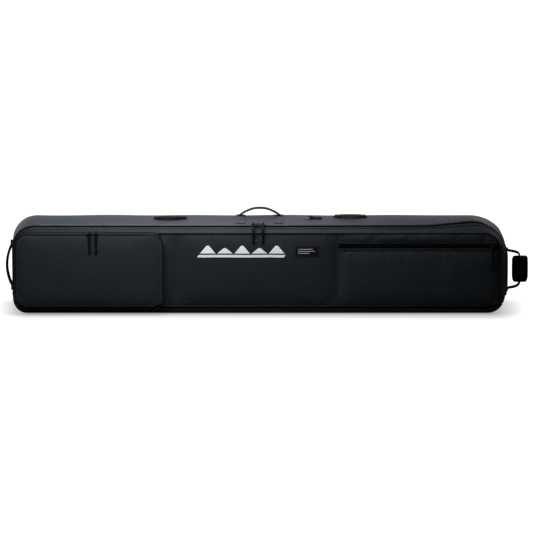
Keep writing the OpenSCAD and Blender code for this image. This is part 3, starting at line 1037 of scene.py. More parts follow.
@dataclass
class Zip:
    """A zipper's sizes, and the making of its tapes and its coil."""

    bench: Workbench
    pitch: float = 0.0030
    tooth: tuple = (0.0017, 0.0034, 0.0019)

    def coil(self, name: str, body: str, path: np.ndarray, up: np.ndarray, shift: float,
             folds: bool = False) -> None:
        """Makes one side's coil.

        Args:
            name: The piece's name.
            body: The body.
            path: The coil's line.
            up: The surface's normal.
            shift: How far along the coil starts, so that the two sides mesh.
            folds: Whether it gets a mesh of its own; nothing here flattens it with the lid.
        """
        deselect_all()
        bpy.ops.mesh.primitive_cube_add(size=1.0, scale=self.tooth)
        unit = new_piece("tooth")
        bpy.ops.object.mode_set(mode="EDIT")
        bpy.ops.mesh.select_all(action="SELECT")
        bpy.ops.mesh.bevel(offset=0.0005, segments=1, affect="EDGES")
        bpy.ops.object.mode_set(mode="OBJECT")
        places = frames_along(path, up, self.pitch)
        places[:, :3, 3] += places[:, :3, 0] * shift * self.pitch
        piece = repeated(name, unit, places)
        self.bench.hand_over(piece, body, "coil_plastic", folds=folds)


def outline_up(path: np.ndarray) -> np.ndarray:
    """Gives the outward normals of a path in the XZ plane that runs right, up and over to the left."""
    ahead = np.gradient(path, axis=0)
    out = np.stack([ahead[:, 2], np.zeros(len(path)), -ahead[:, 0]], axis=1)
    return out / np.linalg.norm(out, axis=1, keepdims=True)


def make_hem(bench: Workbench, form: BagForm, name: str, body: str, rear: float, fore: float,
             finish: str = "gusset_cloth") -> None:
    """Makes the folded edge of the gusset that covers most of a main zipper tape, and sews it down.

    Args:
        bench: The workbench.
        form: The bag's form.
        name: The piece's name.
        body: The body it rides on.
        rear: The depth of its rear edge.
        fore: The depth of its front edge.
        finish: The gusset's finish there.
    """
    depths = np.linspace(rear, fore, 7)
    points = form.shell(depths, Part.UPPER, 500, 0.0010, 0.060)
    swell = np.sin(np.linspace(0, math.pi, 7)) ** 0.5 * 0.0016
    uneven = waves(lengths(points, 0), points[..., 1], 0.05, 27) * 0.0003
    points = raised(points, swell[None] + uneven * (swell > 0.0005)[None])
    bench.hand_over(sheet(name, points, 0.0012), body, finish)
    rows = points[:, 3]
    bench.sew(body, rows + outline_up(rows) * 0.0001, outline_up(resample(rows, 400)))


@dataclass
class Tub:
    """The bag's body behind the main zipper: gussets, base, back, lining and their trim."""

    bench: Workbench
    form: BagForm
    zip_line: float = -0.060
    wall: float = 0.0060
    lining_face: float = 0.083
    around: int = 420

    def build(self) -> None:
        """Makes every piece of the tub."""
        self.make_shell()
        self.make_back()
        self.make_lining()
        self.make_trim()
        self.make_zip()

    def make_shell(self) -> None:
        """Makes the gussets in one lofted shell, and the base's front edge."""
        depths = np.linspace(self.form.back, self.zip_line, 32)
        points = self.form.shell(depths, Part.WHOLE, self.around)
        lift = relief(points, (self.form.back, self.zip_line), 3, 0.0018)
        resting = np.clip(points[..., 2] / 0.02, 0, 1)
        lift[0] = lift[-1] = (lift[0] + lift[-1]) / 2
        shell = surface("tub_shell", raised(points, lift * resting * 0.7))
        close_up(shell, outward=False)
        thicken(shell, self.wall, 1)
        self.bench.hand_over(shell, "bag_body", "gusset_cloth", "top_gusset", "left_end_gusset",
                             "right_end_gusset", inner="lining_cloth", fill=0.4)
        front = self.form.shell(np.linspace(0.060, -0.0945, 40), Part.LOWER, 260, 0.0008)
        base = sheet("base_shell", front, 0.0022)
        self.bench.hand_over(base, "bag_body", "base_cloth", "bottom_gusset")
        rows = self.form.shell((0.089,), Part.UPPER, 400, 0.0006, 0.06)[:, 0]
        self.bench.sew("bag_body", rows, outline_up(rows))

    def make_back(self) -> None:
        """Makes the padded back panel and the piping round it."""
        y = self.form.back
        x1, z0, z1 = self.form.end(y) - 0.001, self.form.floor(y), self.form.crown(y) - 0.001
        points = panel_points(-x1, x1, z0, z1, y - 0.001, 150, 40, self.form.back_corners)[:, ::-1]
        sheet_piece = surface("back_panel_padded", points)
        puffed(sheet_piece, (0, 1, 0), 0.006, 0.01)
        thicken(sheet_piece, 0.003)
        self.bench.hand_over(sheet_piece, "bag_body", "front_cloth", "back_panel", "back_foam", fill=0.5)
        ring = in_depth(resample(self.form.loop(y, 0.0006), 520), y + 0.0006)
        piping = sweep("back_seam_piping", ring, round_section(0.0028), (0, 1, 0), closed=True)
        self.bench.hand_over(piping, "bag_body", "piping_cloth", "back_piping")

    def make_lining(self) -> None:
        """Makes the lining inside the back."""
        y = self.lining_face
        x1, z0, z1 = (self.form.end(y) - self.wall, self.form.floor(y) + self.wall,
                      self.form.crown(y) - self.wall)
        points = panel_points(-x1, x1, z0, z1, y, 120, 36, self.form.back_corners)
        x, z = points[..., 0], points[..., 2]
        inside = np.sin(math.pi * (x + x1) / (2 * x1)) * np.sin(math.pi * (z - z0) / (z1 - z0))
        quilted = raised(points, waves(x, z, 0.2, 11) * 0.0012 * np.clip(inside * 3, 0, 1))
        piece = sheet("back_lining", quilted, 0.0012)
        self.bench.hand_over(piece, "bag_body", "lining_cloth", "tub_lining")

    def make_trim(self) -> None:
        """Makes the piping that the lid turns on."""
        path = np.linspace((-0.800, -0.094, 0.028), (0.800, -0.094, 0.028), 260)
        path[:, 2] += waves(path[:, 0], path[:, 0] * 0, 0.3, 17) * 0.0004
        piece = sweep("hinge_fold", path, round_section(0.0038, 12), (0, 1, 0))
        self.bench.hand_over(piece, "bag_body", "piping_cloth", "hinge_piping")

    def make_zip(self) -> None:
        """Makes the tub's half of the main zipper."""
        edge = self.zip_line + 0.0042
        depths = np.linspace(edge + 0.001, self.zip_line, 4)
        tape = sheet("tub_tape", self.form.shell(depths, Part.UPPER, 500, 0.0012, 0.060), 0.0010)
        self.bench.hand_over(tape, "bag_body", "tape_cloth", "tub_zip_tape")
        make_hem(self.bench, self.form, "tub_zip_hem", "bag_body", edge + 0.0085, edge)
        line = self.form.shell((self.zip_line + 0.0014,), Part.UPPER, 900, 0.0022, 0.060)[:, 0]
        Zip(self.bench).coil("tub_coil", "bag_body", line, outline_up(line), 0.0)


def panel_points(x0: float, x1: float, z0: float, z1: float, y: float, columns: int, rows: int,
                 radii: Sequence[float], span: Optional[tuple[float, float]] = None) -> np.ndarray:
    """Gives a flat panel with rounded corners, facing -Y.

    Args:
        x0: Left.
        x1: Right.
        z0: Bottom of the outline.
        z1: Top of the outline.
        y: Its depth.
        columns: Cells across.
        rows: Cells up.
        radii: Top right, top left, bottom left, bottom right.
        span: The heights between which the panel is cut, if not the whole outline.

    Returns:
        The points, as (columns + 1, rows + 1, 3).
    """
    low, high = span or (z0, z1)
    share = 0.5 - 0.5 * np.cos(np.linspace(0, math.pi, rows + 1))
    flat = np.linspace(0, 1, rows + 1)
    z = low + (high - low) * (0.6 * share + 0.4 * flat)

    def inset(top: float, bottom: float) -> np.ndarray:
        """How far a side is pulled in at each height by its two corners."""
        above = np.clip((z - (z1 - top)) / max(top, 1e-6), 0, 1)
        below = np.clip(((z0 + bottom) - z) / max(bottom, 1e-6), 0, 1)
        return top * (1 - np.sqrt(1 - above ** 2)) + bottom * (1 - np.sqrt(1 - below ** 2))

    left, right = x0 + inset(radii[1], radii[2]), x1 - inset(radii[0], radii[3])
    across = np.linspace(0, 1, columns + 1)[:, None]
    x = left[None] + (right - left)[None] * across
    return np.stack([x, np.full_like(x, y), np.broadcast_to(z[None], x.shape)], axis=2)


@dataclass
class Lid:
    """The zipped front: its band, panels, piping, lining, mark, label and flat pocket."""

    bench: Workbench
    form: BagForm
    zip_line: float = -0.0606
    seam: float = -0.0955
    half: float = 0.836
    low: float = 0.0326
    high: float = 0.287
    radii: tuple = (0.058, 0.060, 0.020, 0.020)
    seams: tuple = (-0.293, 0.271)
    welt: tuple = (0.231, 0.253)
    puff: float = 0.0085
    panels: dict = field(default_factory=dict)

    def build(self) -> None:
        """Makes every piece of the lid."""
        self.make_band()
        self.make_panels()
        self.make_lining()
        self.make_piping()
        self.make_mark()
        self.make_label()
        self.make_flat_pocket()
        self.make_zip()

    def make_band(self) -> None:
        """Makes the gusset band between the main zipper and the front seam."""
        depths = np.linspace(self.zip_line, self.form.front, 12)
        points = self.form.shell(depths, Part.UPPER, 420, 0.0, 0.036)
        lift = relief(points, (self.form.front, self.zip_line), 23, 0.0010)
        band = sheet("lid_band", raised(points, lift), 0.0058, 1)
        # The band takes the darker copy of the gusset cloth: painted shade.
        self.bench.hand_over(band, "lid", "band_cloth_painted_shade", "lid_top_band", "lid_left_band",
                             "lid_right_band", inner="lining_cloth", fill=0.4)

    def make_panels(self) -> None:
        """Makes the front's four padded panels, and sews along their seams."""
        left, right = self.seams
        plans = (
            ("front_left", "front_panel_left", -self.half, left, (0, self.radii[1], self.radii[2], 0), None,
             84),
            ("front_middle", "front_panel_middle", left, right, (0, 0, 0, 0), None, 84),
            ("front_right_lower", "front_panel_right_lower", right, self.half,
             (self.radii[0], 0, 0, self.radii[3]), (self.low, self.welt[0]), 84),
            ("front_right_upper", "front_panel_right_upper", right, self.half,
             (self.radii[0], 0, 0, self.radii[3]), (self.welt[1], self.high), 84))
        for seed, (name, node, x0, x1, radii, span, columns) in enumerate(plans):
            rows = 12 if name.endswith("upper") else 42
            points = panel_points(x0 + 0.0006, x1 - 0.0006, self.low, self.high, self.seam, columns, rows,
                                  radii, span)
            x, z = points[..., 0], points[..., 2]
            low, high = span or (self.low, self.high)
            dome = np.sin(math.pi * np.clip((x - x0) / (x1 - x0), 0, 1)) * np.sin(
                math.pi * np.clip((z - low) / (high - low), 0, 1))
            full = np.clip(dome, 0, 1) ** 0.55 * 0.0060
            points[..., 1] -= full + waves(x, z, 0.13, 31 + seed) * 0.0016 * np.clip(dome * 2, 0, 1)
            if rows == 12:
                points[..., 1] -= 0.0026 * (high - z) / (high - low)
            piece = surface(name, points)
            puffed(piece, FRONT, self.puff * (0.45 if rows == 12 else 1.0), 0.012)
            self.panels[name] = piece
            thicken(piece, 0.0028)
            self.bench.hand_over(piece, "lid", "front_cloth", node, fill=0.5)
        for x in self.seams:
            for side in (-0.0052, 0.0052):
                self.sew_on(self.panel_at(x + side), (x + side, self.low + 0.004),
                            (x + side, self.high - 0.003))

    def panel_at(self, x: float) -> bpy.types.Object:
        """Gives the panel under a place."""
        if x < self.seams[0]:
            return self.panels["front_left"]
        return self.panels["front_middle" if x < self.seams[1] else "front_right_lower"]

    def sew_on(self, target: bpy.types.Object, start: tuple, end: tuple) -> None:
        """Sews a straight row on a front panel, between two places in x and z."""
        path = np.linspace((start[0], LID_FACE, start[1]), (end[0], LID_FACE, end[1]), 90)
        self.bench.sew("lid", laid_on(path, target, (0, 1, 0), 0.0001), FRONT)

    def make_lining(self) -> None:
        """Makes the lining inside the lid."""
        inset = 0.012
        points = panel_points(-self.half + inset, self.half - inset, self.low + 0.004, self.high - inset,
                              -0.0848,
                              130, 36, (0.046, 0.048, 0.015, 0.015))[:, ::-1]
        x, z = points[..., 0], points[..., 2]
        piece = sheet("lid_lining_cloth", raised(points, waves(x, z, 0.2, 41) * 0.0008), 0.0012)
        self.bench.hand_over(piece, "lid", "lining_cloth", "lid_lining", "front_foam_left",
                             "front_foam_right", "flat_pocket_lining")

    def make_piping(self) -> None:
        """Makes the piping round the front, and covers the panels' upright seams."""
        loop = rounded_loop(-self.half, self.half, self.low, self.high, self.radii)
        upper = loop[loop[:, 1] > self.low + 0.003]
        steps = np.linalg.norm(np.diff(upper, axis=0), axis=1)
        if steps.max() > 0.01:
            gap = np.argmax(steps > 0.01)
            upper = np.vstack([upper[gap + 1:], upper[:gap + 1]])
        path = in_depth(resample(upper, 560), self.seam - 0.0012)
        path += outline_up(path) * 0.0008
        piping = sweep("front_seam_piping", path, round_section(0.0026), (0, 1, 0))
        self.bench.hand_over(piping, "lid", "piping_cloth", "front_piping")
        for k, x in enumerate(self.seams):
            line = np.linspace((x, self.seam - 0.001, self.low), (x, self.seam - 0.001, self.high - 0.002),
                               60)
            fold = sweep(f"panel_seam_{k + 1}", line, flat_section(0.0040, 0.0018), (1, 0, 0))
            self.bench.hand_over(fold, "lid", "front_cloth")

    def make_mark(self) -> None:
        """Makes the printed mark: five peaks over a bar."""
        shapes = [((-0.218, 0.205), (0.084, 0.205), (0.090, 0.214), (-0.212, 0.214))]
        for k in range(5):
            x, top = -0.208 + k * 0.060, 0.246 if k % 2 == 0 else 0.237
            shapes.append(((x, 0.219), (x + 0.054, 0.219), (x + 0.031, top), (x + 0.023, top)))
        prints = []
        for k, shape in enumerate(shapes):
            low_left, low_right, high_right, high_left = (np.array(p) for p in shape)
            columns, rows = (60, 3) if k == 0 else (14, 8)
            u = np.linspace(0, 1, columns + 1)[:, None, None]
            v = np.linspace(0, 1, rows + 1)[None, :, None]
            flat = (1 - v) * ((1 - u) * low_left + u * low_right) + v * ((1 - u) * high_left + u * high_right)
            points = np.stack([flat[..., 0], np.full(flat.shape[:2], LID_FACE), flat[..., 1]], axis=2)
            points = laid_on(points, self.panels["front_middle"], (0, 1, 0), 0.0007)
            prints.append(sheet(f"print_{k}", points, 0.0006))
        self.bench.hand_over(join("peaks_print", prints), "lid", "white_print", "emblem")

    def make_label(self) -> None:
        """Makes the woven label, its bars and its stitches."""
        low, high = np.array((0.121, 0.208)), np.array((0.205, 0.244))
        points = panel_points(low[0], high[0], low[1], high[1], LID_FACE, 24, 12, (0.002,) * 4)
        points = laid_on(points, self.panels["front_middle"], (0, 1, 0), 0.0016)
        label = sheet("label_patch", points, 0.0014)
        self.bench.hand_over(label, "lid", "label_cloth", "woven_label")
        bars = []
        for k, (z, width) in enumerate(((0.2335, 0.052), (0.2265, 0.060), (0.2195, 0.040))):
            x0 = 0.133
            bar = panel_points(x0, x0 + width, z - 0.0012, z + 0.0012, LID_FACE, 16, 2, (0.0005,) * 4)
            bars.append(sheet(f"bar_{k}", laid_on(bar, label, (0, 1, 0), 0.0004), 0.0004))
        self.bench.hand_over(join("label_bars", bars), "lid", "label_thread")
        ring = in_depth(rounded_loop(*low[:1] + 0.002, *high[:1] - 0.002, low[1] + 0.002, high[1] - 0.002,
                                     (0.001,) * 4), LID_FACE)
        self.bench.sew("lid", laid_on(resample(ring, 120), label, (0, 1, 0), 0.0001), FRONT, 0.0036)

    def make_flat_pocket(self) -> None:
        """Makes the flat pocket's zipper in its welt."""
        x0, x1, middle = self.seams[1] + 0.003, 0.8185, 0.242
        depth = self.seam - 0.0020
        tapes = []
        for k, (z0, z1) in enumerate(((self.welt[0] - 0.003, middle - 0.0003),
                                      (middle + 0.0003, self.welt[1] + 0.003))):
            points = panel_points(x0, x1, z0, z1, depth, 120, 4, (0.0,) * 4)
            points[..., 1] -= waves(points[..., 0], points[..., 2] * 0, 0.2, 51) * 0.0004
            tapes.append(sheet(f"tape_{k}", points, 0.0010))
        self.bench.hand_over(join("flat_pocket_tapes", tapes), "lid", "tape_cloth", "flat_zip_tapes")
        zipper = Zip(self.bench)
        for side, shift in ((-1, 0.0), (1, 0.5)):
            z = middle + side * 0.0014
            line = np.linspace((x0 + 0.002, depth - 0.0009, z), (x1 - 0.002, depth - 0.0009, z), 120)
            zipper.coil(f"flat_coil_{'lower' if side < 0 else 'upper'}", "lid", line, np.array(FRONT), shift)
        for k, z in enumerate(self.welt):
            line = np.linspace((x0, self.seam - 0.0026, z), (x1 + 0.004, self.seam - 0.0026, z), 140)
            line[:, 1] -= waves(line[:, 0], line[:, 0] * 0, 0.15, 61 + k) * 0.0003
            fold = sweep(f"pocket_welt_{k + 1}", line, flat_section(0.0062, 0.0020, 0.0004), (0, 0, 1))
            self.bench.hand_over(fold, "lid", "front_cloth")
        stop = block("flat_zip_stop", (x1 - 0.001, depth - 0.0022, self.welt[0]),
                     (x1 + 0.007, depth, self.welt[1]), 0.0006)
        self.bench.hand_over(stop, "lid", "strap_webbing")
        self.sew_on(self.panels["front_right_lower"], (x0, self.welt[0] - 0.006), (x1, self.welt[0] - 0.006))
        self.sew_on(self.panels["front_right_upper"], (x0, self.welt[1] + 0.006), (x1, self.welt[1] + 0.006))

    def make_zip(self) -> None:
        """Makes the lid's half of the main zipper."""
        edge = self.zip_line - 0.0042
        depths = np.linspace(self.zip_line, edge - 0.001, 4)
        tape = sheet("lid_tape", self.form.shell(depths, Part.UPPER, 500, 0.0012, 0.060), 0.0010)
        self.bench.hand_over(tape, "lid", "tape_cloth", "lid_zip_tape")
        # The lid's hem takes the same darker copy of the gusset cloth: painted shade.
        make_hem(self.bench, self.form, "lid_zip_hem", "lid", edge - 0.0010, edge - 0.0085, "band_cloth_painted_shade")
        line = self.form.shell((self.zip_line - 0.0012,), Part.UPPER, 900, 0.0022, 0.060)[:, 0]
        Zip(self.bench).coil("lid_coil", "lid", line, outline_up(line), 0.5)


@dataclass
class BoxPocket:
    """The raised pocket on the left of the front, with a panel that turns down."""

    bench: Workbench
    left: float = -0.850
    right: float = -0.336
    low: float = 0.031
    high: float = 0.289
    face: float = -0.1225
    foot: float = -0.0975
    radii: tuple = (0.042, 0.042, 0.024, 0.024)

    def build(self) -> None:
        """Makes every piece of the pocket."""
        self.make_gusset()
        self.make_panel()
        self.make_zip()

    def wall(self, depths: Sequence[float], offset: float, count: int = 420,
             above: float = 0.0) -> np.ndarray:
        """Gives the pocket's side wall.

        Args:
            depths: The depths, from back to front.
            offset: How far outside the outline.
            count: Points round it.
            above: The height above which the wall is cut, or 0 for all of it.

        Returns:
            The wall, as (count, depths, 3).
        """
        loop = rounded_loop(self.left - offset, self.right + offset, self.low - offset, self.high + offset,
                            [r + offset for r in self.radii])
        if above:
            keep = loop[:, 1] >= above
            first, last = int(np.argmax(keep)), len(keep) - 1 - int(np.argmax(keep[::-1]))
            loop = loop[first:last + 1]
        flat = resample(loop, count)
        return np.stack([in_depth(flat, y) for y in depths], axis=1)

    def make_gusset(self) -> None:
        """Makes the gusset that stands the pocket off the lid."""
        points = self.wall(np.linspace(self.foot, -0.1188, 8), 0.0)
        y = points[..., 1]
        belly = np.sin(math.pi * np.clip((self.foot - y) / (self.foot + 0.1188), 0, 1)) * 0.0012
        lift = belly + waves(lengths(points, 0), y, 0.09, 71) * 0.0006
        lift[0] = lift[-1] = 0.0
        piece = surface("pocket_gusset_cloth", raised(points, lift))
        close_up(piece, outward=False)
        thicken(piece, 0.0024, 1)
        self.bench.hand_over(piece, "lid", "front_cloth", "box_pocket_gusset", inner="lining_cloth",
                             folds=True)
        foot = in_depth(self.wall((0,), 0.0022, 420, 0.040)[:, 0][:, [0, 2]], self.foot - 0.0010)
        piece = sweep("pocket_foot_piping", foot, round_section(0.0024, 8), (0, 1, 0))
        self.bench.hand_over(piece, "lid", "piping_cloth", folds=True)

    def make_panel(self) -> None:
        """Makes the padded panel, the piping round it and the fold that it turns on."""
        points = panel_points(self.left + 0.0012, self.right - 0.0012, self.low + 0.0065, self.high - 0.0012,
                              self.face, 84, 46, self.radii)
        x, z = points[..., 0], points[..., 2]
        dome = np.sin(math.pi * (x - self.left) / (self.right - self.left)) * np.sin(
            math.pi * np.clip((z - self.low) / (self.high - self.low), 0, 1))
        full = np.clip(dome, 0, 1) ** 0.55 * 0.0052
        points[..., 1] -= full + waves(x, z, 0.13, 81) * 0.0009 * np.clip(dome * 2, 0, 1)
        panel = surface("pocket_front", points)
        puffed(panel, FRONT, 0.0070, 0.012)
        thicken(panel, 0.0028, 1)
        self.bench.hand_over(panel, "pocket_door", "front_cloth", "pocket_panel", inner="lining_cloth",
                             fill=0.5, folds=True)
        ring = self.wall((self.face - 0.0004,), 0.0, 460, 0.036)[:, 0]
        piping = sweep("pocket_edge_piping", ring, round_section(0.0024), (0, 1, 0))
        self.bench.hand_over(piping, "pocket_door", "piping_cloth", folds=True)
        line = np.linspace((self.left + 0.030, -0.1218, 0.034), (self.right - 0.030, -0.1218, 0.034), 90)
        fold = sweep("pocket_hinge_fold", line, round_section(0.0029, 10), (0, 1, 0))
        self.bench.hand_over(fold, "lid", "piping_cloth", "pocket_hinge_piping", folds=True)
        inner = self.wall((self.face,), -0.0075, 400, 0.045)[:, 0]
        self.bench.sew("pocket_door", laid_on(inner, panel, (0, 1, 0), 0.0001), FRONT)

    def make_zip(self) -> None:
        """Makes the pocket's zipper, along its top and down its sides."""
        zipper = Zip(self.bench, tooth=(0.0016, 0.0022, 0.0018))
        plans = (("inner", "lid", (-0.1155, -0.1200), -0.1194, "pocket_zip_tape_inner", 0.0),
                 ("outer", "pocket_door", (-0.1204, -0.1228), -0.1214, "pocket_zip_tape_outer", 0.5))
        for name, body, (y0, y1), coil_y, node, shift in plans:
            tape = sheet(f"pocket_tape_{name}", self.wall(np.linspace(y0, y1, 4), 0.0014, 420, 0.061), 0.0011)
            self.bench.hand_over(tape, body, "tape_cloth", node, folds=True)
            line = self.wall((coil_y,), 0.0020, 700, 0.061)[:, 0]
            zipper.coil(f"pocket_coil_{name}", body, line, outline_up(line), shift, folds=True)


@dataclass
class Handles:
    """The carrying handles, their patches, and the tab with its ring."""

    bench: Workbench
    form: BagForm
    webbing: float = 0.025
    padded: float = 0.0062

    def build(self) -> None:
        """Makes every handle."""
        self.make_haul()
        self.make_grabs()
        self.make_ring()
        self.make_left()
        self.make_tow()

    def top_patch(self, name: str, x0: float, x1: float, y0: float, y1: float) -> bpy.types.Object:
        """Makes a patch sewn on the crown."""
        x = np.linspace(x0, x1, 9)
        y = np.linspace(y0, y1, 37)
        points = np.array([[(a, b,
                             self.form.crown(b) + 0.0018 + 0.0026 * math.exp(-((b - 0.018) / 0.016) ** 4))
                            for b in y] for a in x])
        return sheet(name, points, 0.0008)

    def make_haul(self) -> None:
        """Makes the haul handle and its two patches."""
        patches = []
        for side in (-1, 1):
            x0, x1 = sorted((side * 0.050, side * 0.083))
            patches.append(self.top_patch(f"patch_{side}", x0, x1, -0.043, 0.060))
        patch = self.bench.hand_over(join("haul_foot_patches", patches), "bag_body", "gusset_cloth",
                                     "haul_patches")
        for side in (-1, 1):
            for start, end in (((0.0530, -0.040), (0.0530, 0.057)), ((0.0800, -0.040), (0.0800, 0.057)),
                               ((0.0530, -0.040), (0.0800, -0.040)), ((0.0530, 0.057), (0.0800, 0.057))):
                path = np.linspace((side * start[0], start[1], 0.33), (side * end[0], end[1], 0.33), 26)
                self.bench.sew("bag_body", laid_on(path, patch, (0, 0, -1), 0.0002), (0, 0, 1), 0.0036)
        feet, base = 0.078, self.form.crown(0.018) + 0.0024
        half = [(feet, 0.018, base), (0.0735, 0.018, base), (0.069, 0.018, base + 0.0030),
                (0.058, 0.018, 0.3390),
                (0.038, 0.018, 0.3490), (0.018, 0.018, 0.3558)]
        corners = [(-x, y, z) for x, y, z in half] + half[::-1]
        strap = sweep("haul_webbing", rounded_path(corners, 90), flat_section(self.webbing, 0.0042),
                      (0, 1, 0))
        self.bench.hand_over(strap, "haul_handle", "strap_webbing", "haul_handle",
                             bends=((0, 0.018, 0.3315), (0, 0.018, 0.3420)))
        for side in (-1, 1):
            box = np.array([(side * a, b, base + 0.0025) for a, b in
                            ((0.0695, 0.008), (0.0775, 0.008), (0.0775, 0.028), (0.0695, 0.028))])
            self.bench.box_cross("bag_body", box, (0, 0, 1))

    def make_grabs(self) -> None:
        """Makes the two flat grab handles that lie on the top."""
        for name, middle, y in (("left", -0.312, 0.004), ("right", 0.316, 0.018)):
            base = self.form.crown(y) + 0.0026
            corners = [(middle + a, y - 0.010 * (1 - (a / 0.055) ** 2), base + b) for a, b in
                       ((-0.055, 0), (-0.046, 0), (-0.040, 0.0008), (-0.030, 0.0024), (0, 0.0034),
                        (0.030, 0.0024), (0.040, 0.0008), (0.046, 0), (0.055, 0))]
            strap = sweep(f"grab_strap_{name}", rounded_path(corners, 60), flat_section(0.032, 0.0026),
                          (0, 1, 0))
            self.bench.hand_over(strap, "bag_body", "grab_webbing", f"grab_handle_{name}")
            for side in (-1, 1):
                box = np.array([(middle + side * a, y + b, base + 0.0016) for a, b in
                                ((0.045, -0.012), (0.053, -0.012), (0.053, 0.012), (0.045, 0.012))])
                self.bench.box_cross("bag_body", box, (0, 0, 1))

    def make_ring(self) -> None:
        """Makes the tab and the square ring on it."""
        x, y, lift = 0.175, -0.008, 0.006
        z = self.form.crown(y) + lift
        slope = math.atan((self.form.crown(y + 0.004) - self.form.crown(y - 0.004)) / 0.008)
        side = np.array((0, math.cos(slope), math.sin(slope)))
        up = np.array((0, -math.sin(slope), math.cos(slope)))
        centre = np.array((x, y, z))
        ring = rounded_loop(-0.0145, 0.0, -0.0105, 0.0105, (0.003,) * 4)
        path = centre + ring[:, :1] * np.array((1.0, 0, 0)) + ring[:, 1:] * side
        piece = sweep("square_ring", resample(path, 80), round_section(0.0016, 10), up, closed=True)
        self.bench.hand_over(piece, "ring", "ring_metal", "webbing_ring")
        bend = [(-0.0030 * math.sin(k * math.pi / 6), -0.0030 * math.cos(k * math.pi / 6)) for k in range(7)]
        steps = [(0.042, -0.0040), (0.030, -0.0040), (0.014, -0.0038), (0.005, -0.0032), *bend,
                 (0.0045, 0.0028), (0.012, -0.0002), (0.022, -0.0018), (0.042, -0.0020)]
        path = rounded_path([centre + np.array((a, 0, 0)) + up * b for a, b in steps], 60)
        tab = sweep("ring_webbing", path, flat_section(0.0125, 0.0014), side)
        self.bench.hand_over(tab, "bag_body", "strap_webbing", "ring_tab")
        box = np.array([centre + np.array((a, 0, 0)) + side * b + up * -0.0010 for a, b in
                        ((0.024, -0.006), (0.038, -0.006), (0.038, 0.006), (0.024, 0.006))])
        self.bench.box_cross("bag_body", box, up)

    def end_patches(self, name: str, side: int, heights: Sequence[float]) -> bpy.types.Object:
        """Makes the patches under an end handle's feet.

        Args:
            name: The piece's name.
            side: -1 for the left end, 1 for the right.
            heights: The heights of their middles.

        Returns:
            The joined patches.
        """
        patches = []
        for k, middle in enumerate(heights):
            z = np.linspace(middle - 0.016, middle + 0.016, 9)
            y = np.linspace(0.016, -0.016, 9)
            points = np.array([[(side * self.end_at(b, a) + side * 0.0014, b,
                                 a) for b in y[::side]] for a in z])
            patches.append(sheet(f"{name}_{k}", points, 0.0010))
        return join(name, patches)

    def end_at(self, y: float, z: float) -> float:
        """Half length of the bag at a depth and height, for the end handles' feet."""
        loop = self.form.part(y, Part.UPPER, 700)
        right = loop[loop[:, 0] > 0]
        order = np.argsort(right[:, 1])
        return float(np.interp(z, right[order, 1], right[order, 0]))

    def make_left(self) -> None:
        """Makes the left end's handle."""
        patch = self.end_patches("left_foot_patches", -1, (0.082, 0.232))
        self.bench.hand_over(patch, "bag_body", "wrap_cloth", "left_handle_patches")
        wall, rise = -0.8665, -0.0185
        bow = [(wall + rise * math.sin(math.pi * k / 12) ** 0.8, 0,
                0.084 + 0.146 * k / 12) for k in range(13)]
        corners = [(wall, 0, 0.069), (wall, 0, 0.078)] + bow + [(wall, 0, 0.236), (wall, 0, 0.244)]
        strap = sweep("left_webbing", rounded_path(corners, 90), flat_section(self.webbing, 0.0090),
                      (0, 1, 0))
        self.bench.hand_over(strap, "left_handle", "strap_webbing", "left_end_handle",
                             bends=((-0.8705, 0, 0.157), (-0.8800, 0, 0.157)))
        for low in (0.067, 0.235):
            box = np.array([(wall - 0.0046, a, b) for a, b in
                            ((-0.010, low), (0.010, low), (0.010, low + 0.012), (-0.010, low + 0.012))])
            self.bench.box_cross("bag_body", box, (-1, 0, 0))

    def make_tow(self) -> None:
        """Makes the right end's tow handle and its padded wrap."""
        patch = self.end_patches("tow_foot_patches", 1, (0.075, 0.209))
        self.bench.hand_over(patch, "bag_body", "wrap_cloth", "tow_handle_patches")
        wall = 0.8668
        corners = [(wall - 0.0012, 0, 0.216), (wall, 0, 0.209), (wall + 0.005, 0, 0.2075), (0.888, 0, 0.205),
                   (0.906, 0, 0.200), (0.911, 0, 0.184), (0.911, 0, 0.142), (0.911, 0, 0.100),
                   (0.906, 0, 0.084), (0.888, 0, 0.077), (wall + 0.004, 0, 0.075), (wall, 0, 0.071),
                   (wall - 0.001, 0, 0.064)]
        strap = sweep("tow_webbing", rounded_path(corners, 110), flat_section(self.webbing, self.padded),
                      (0, 1, 0))
        self.bench.hand_over(strap, "tow_handle", "strap_webbing", "tow_handle_legs",
                             bends=((0.8705, 0, 0.142), (0.8800, 0, 0.142)))
        self.make_wrap()

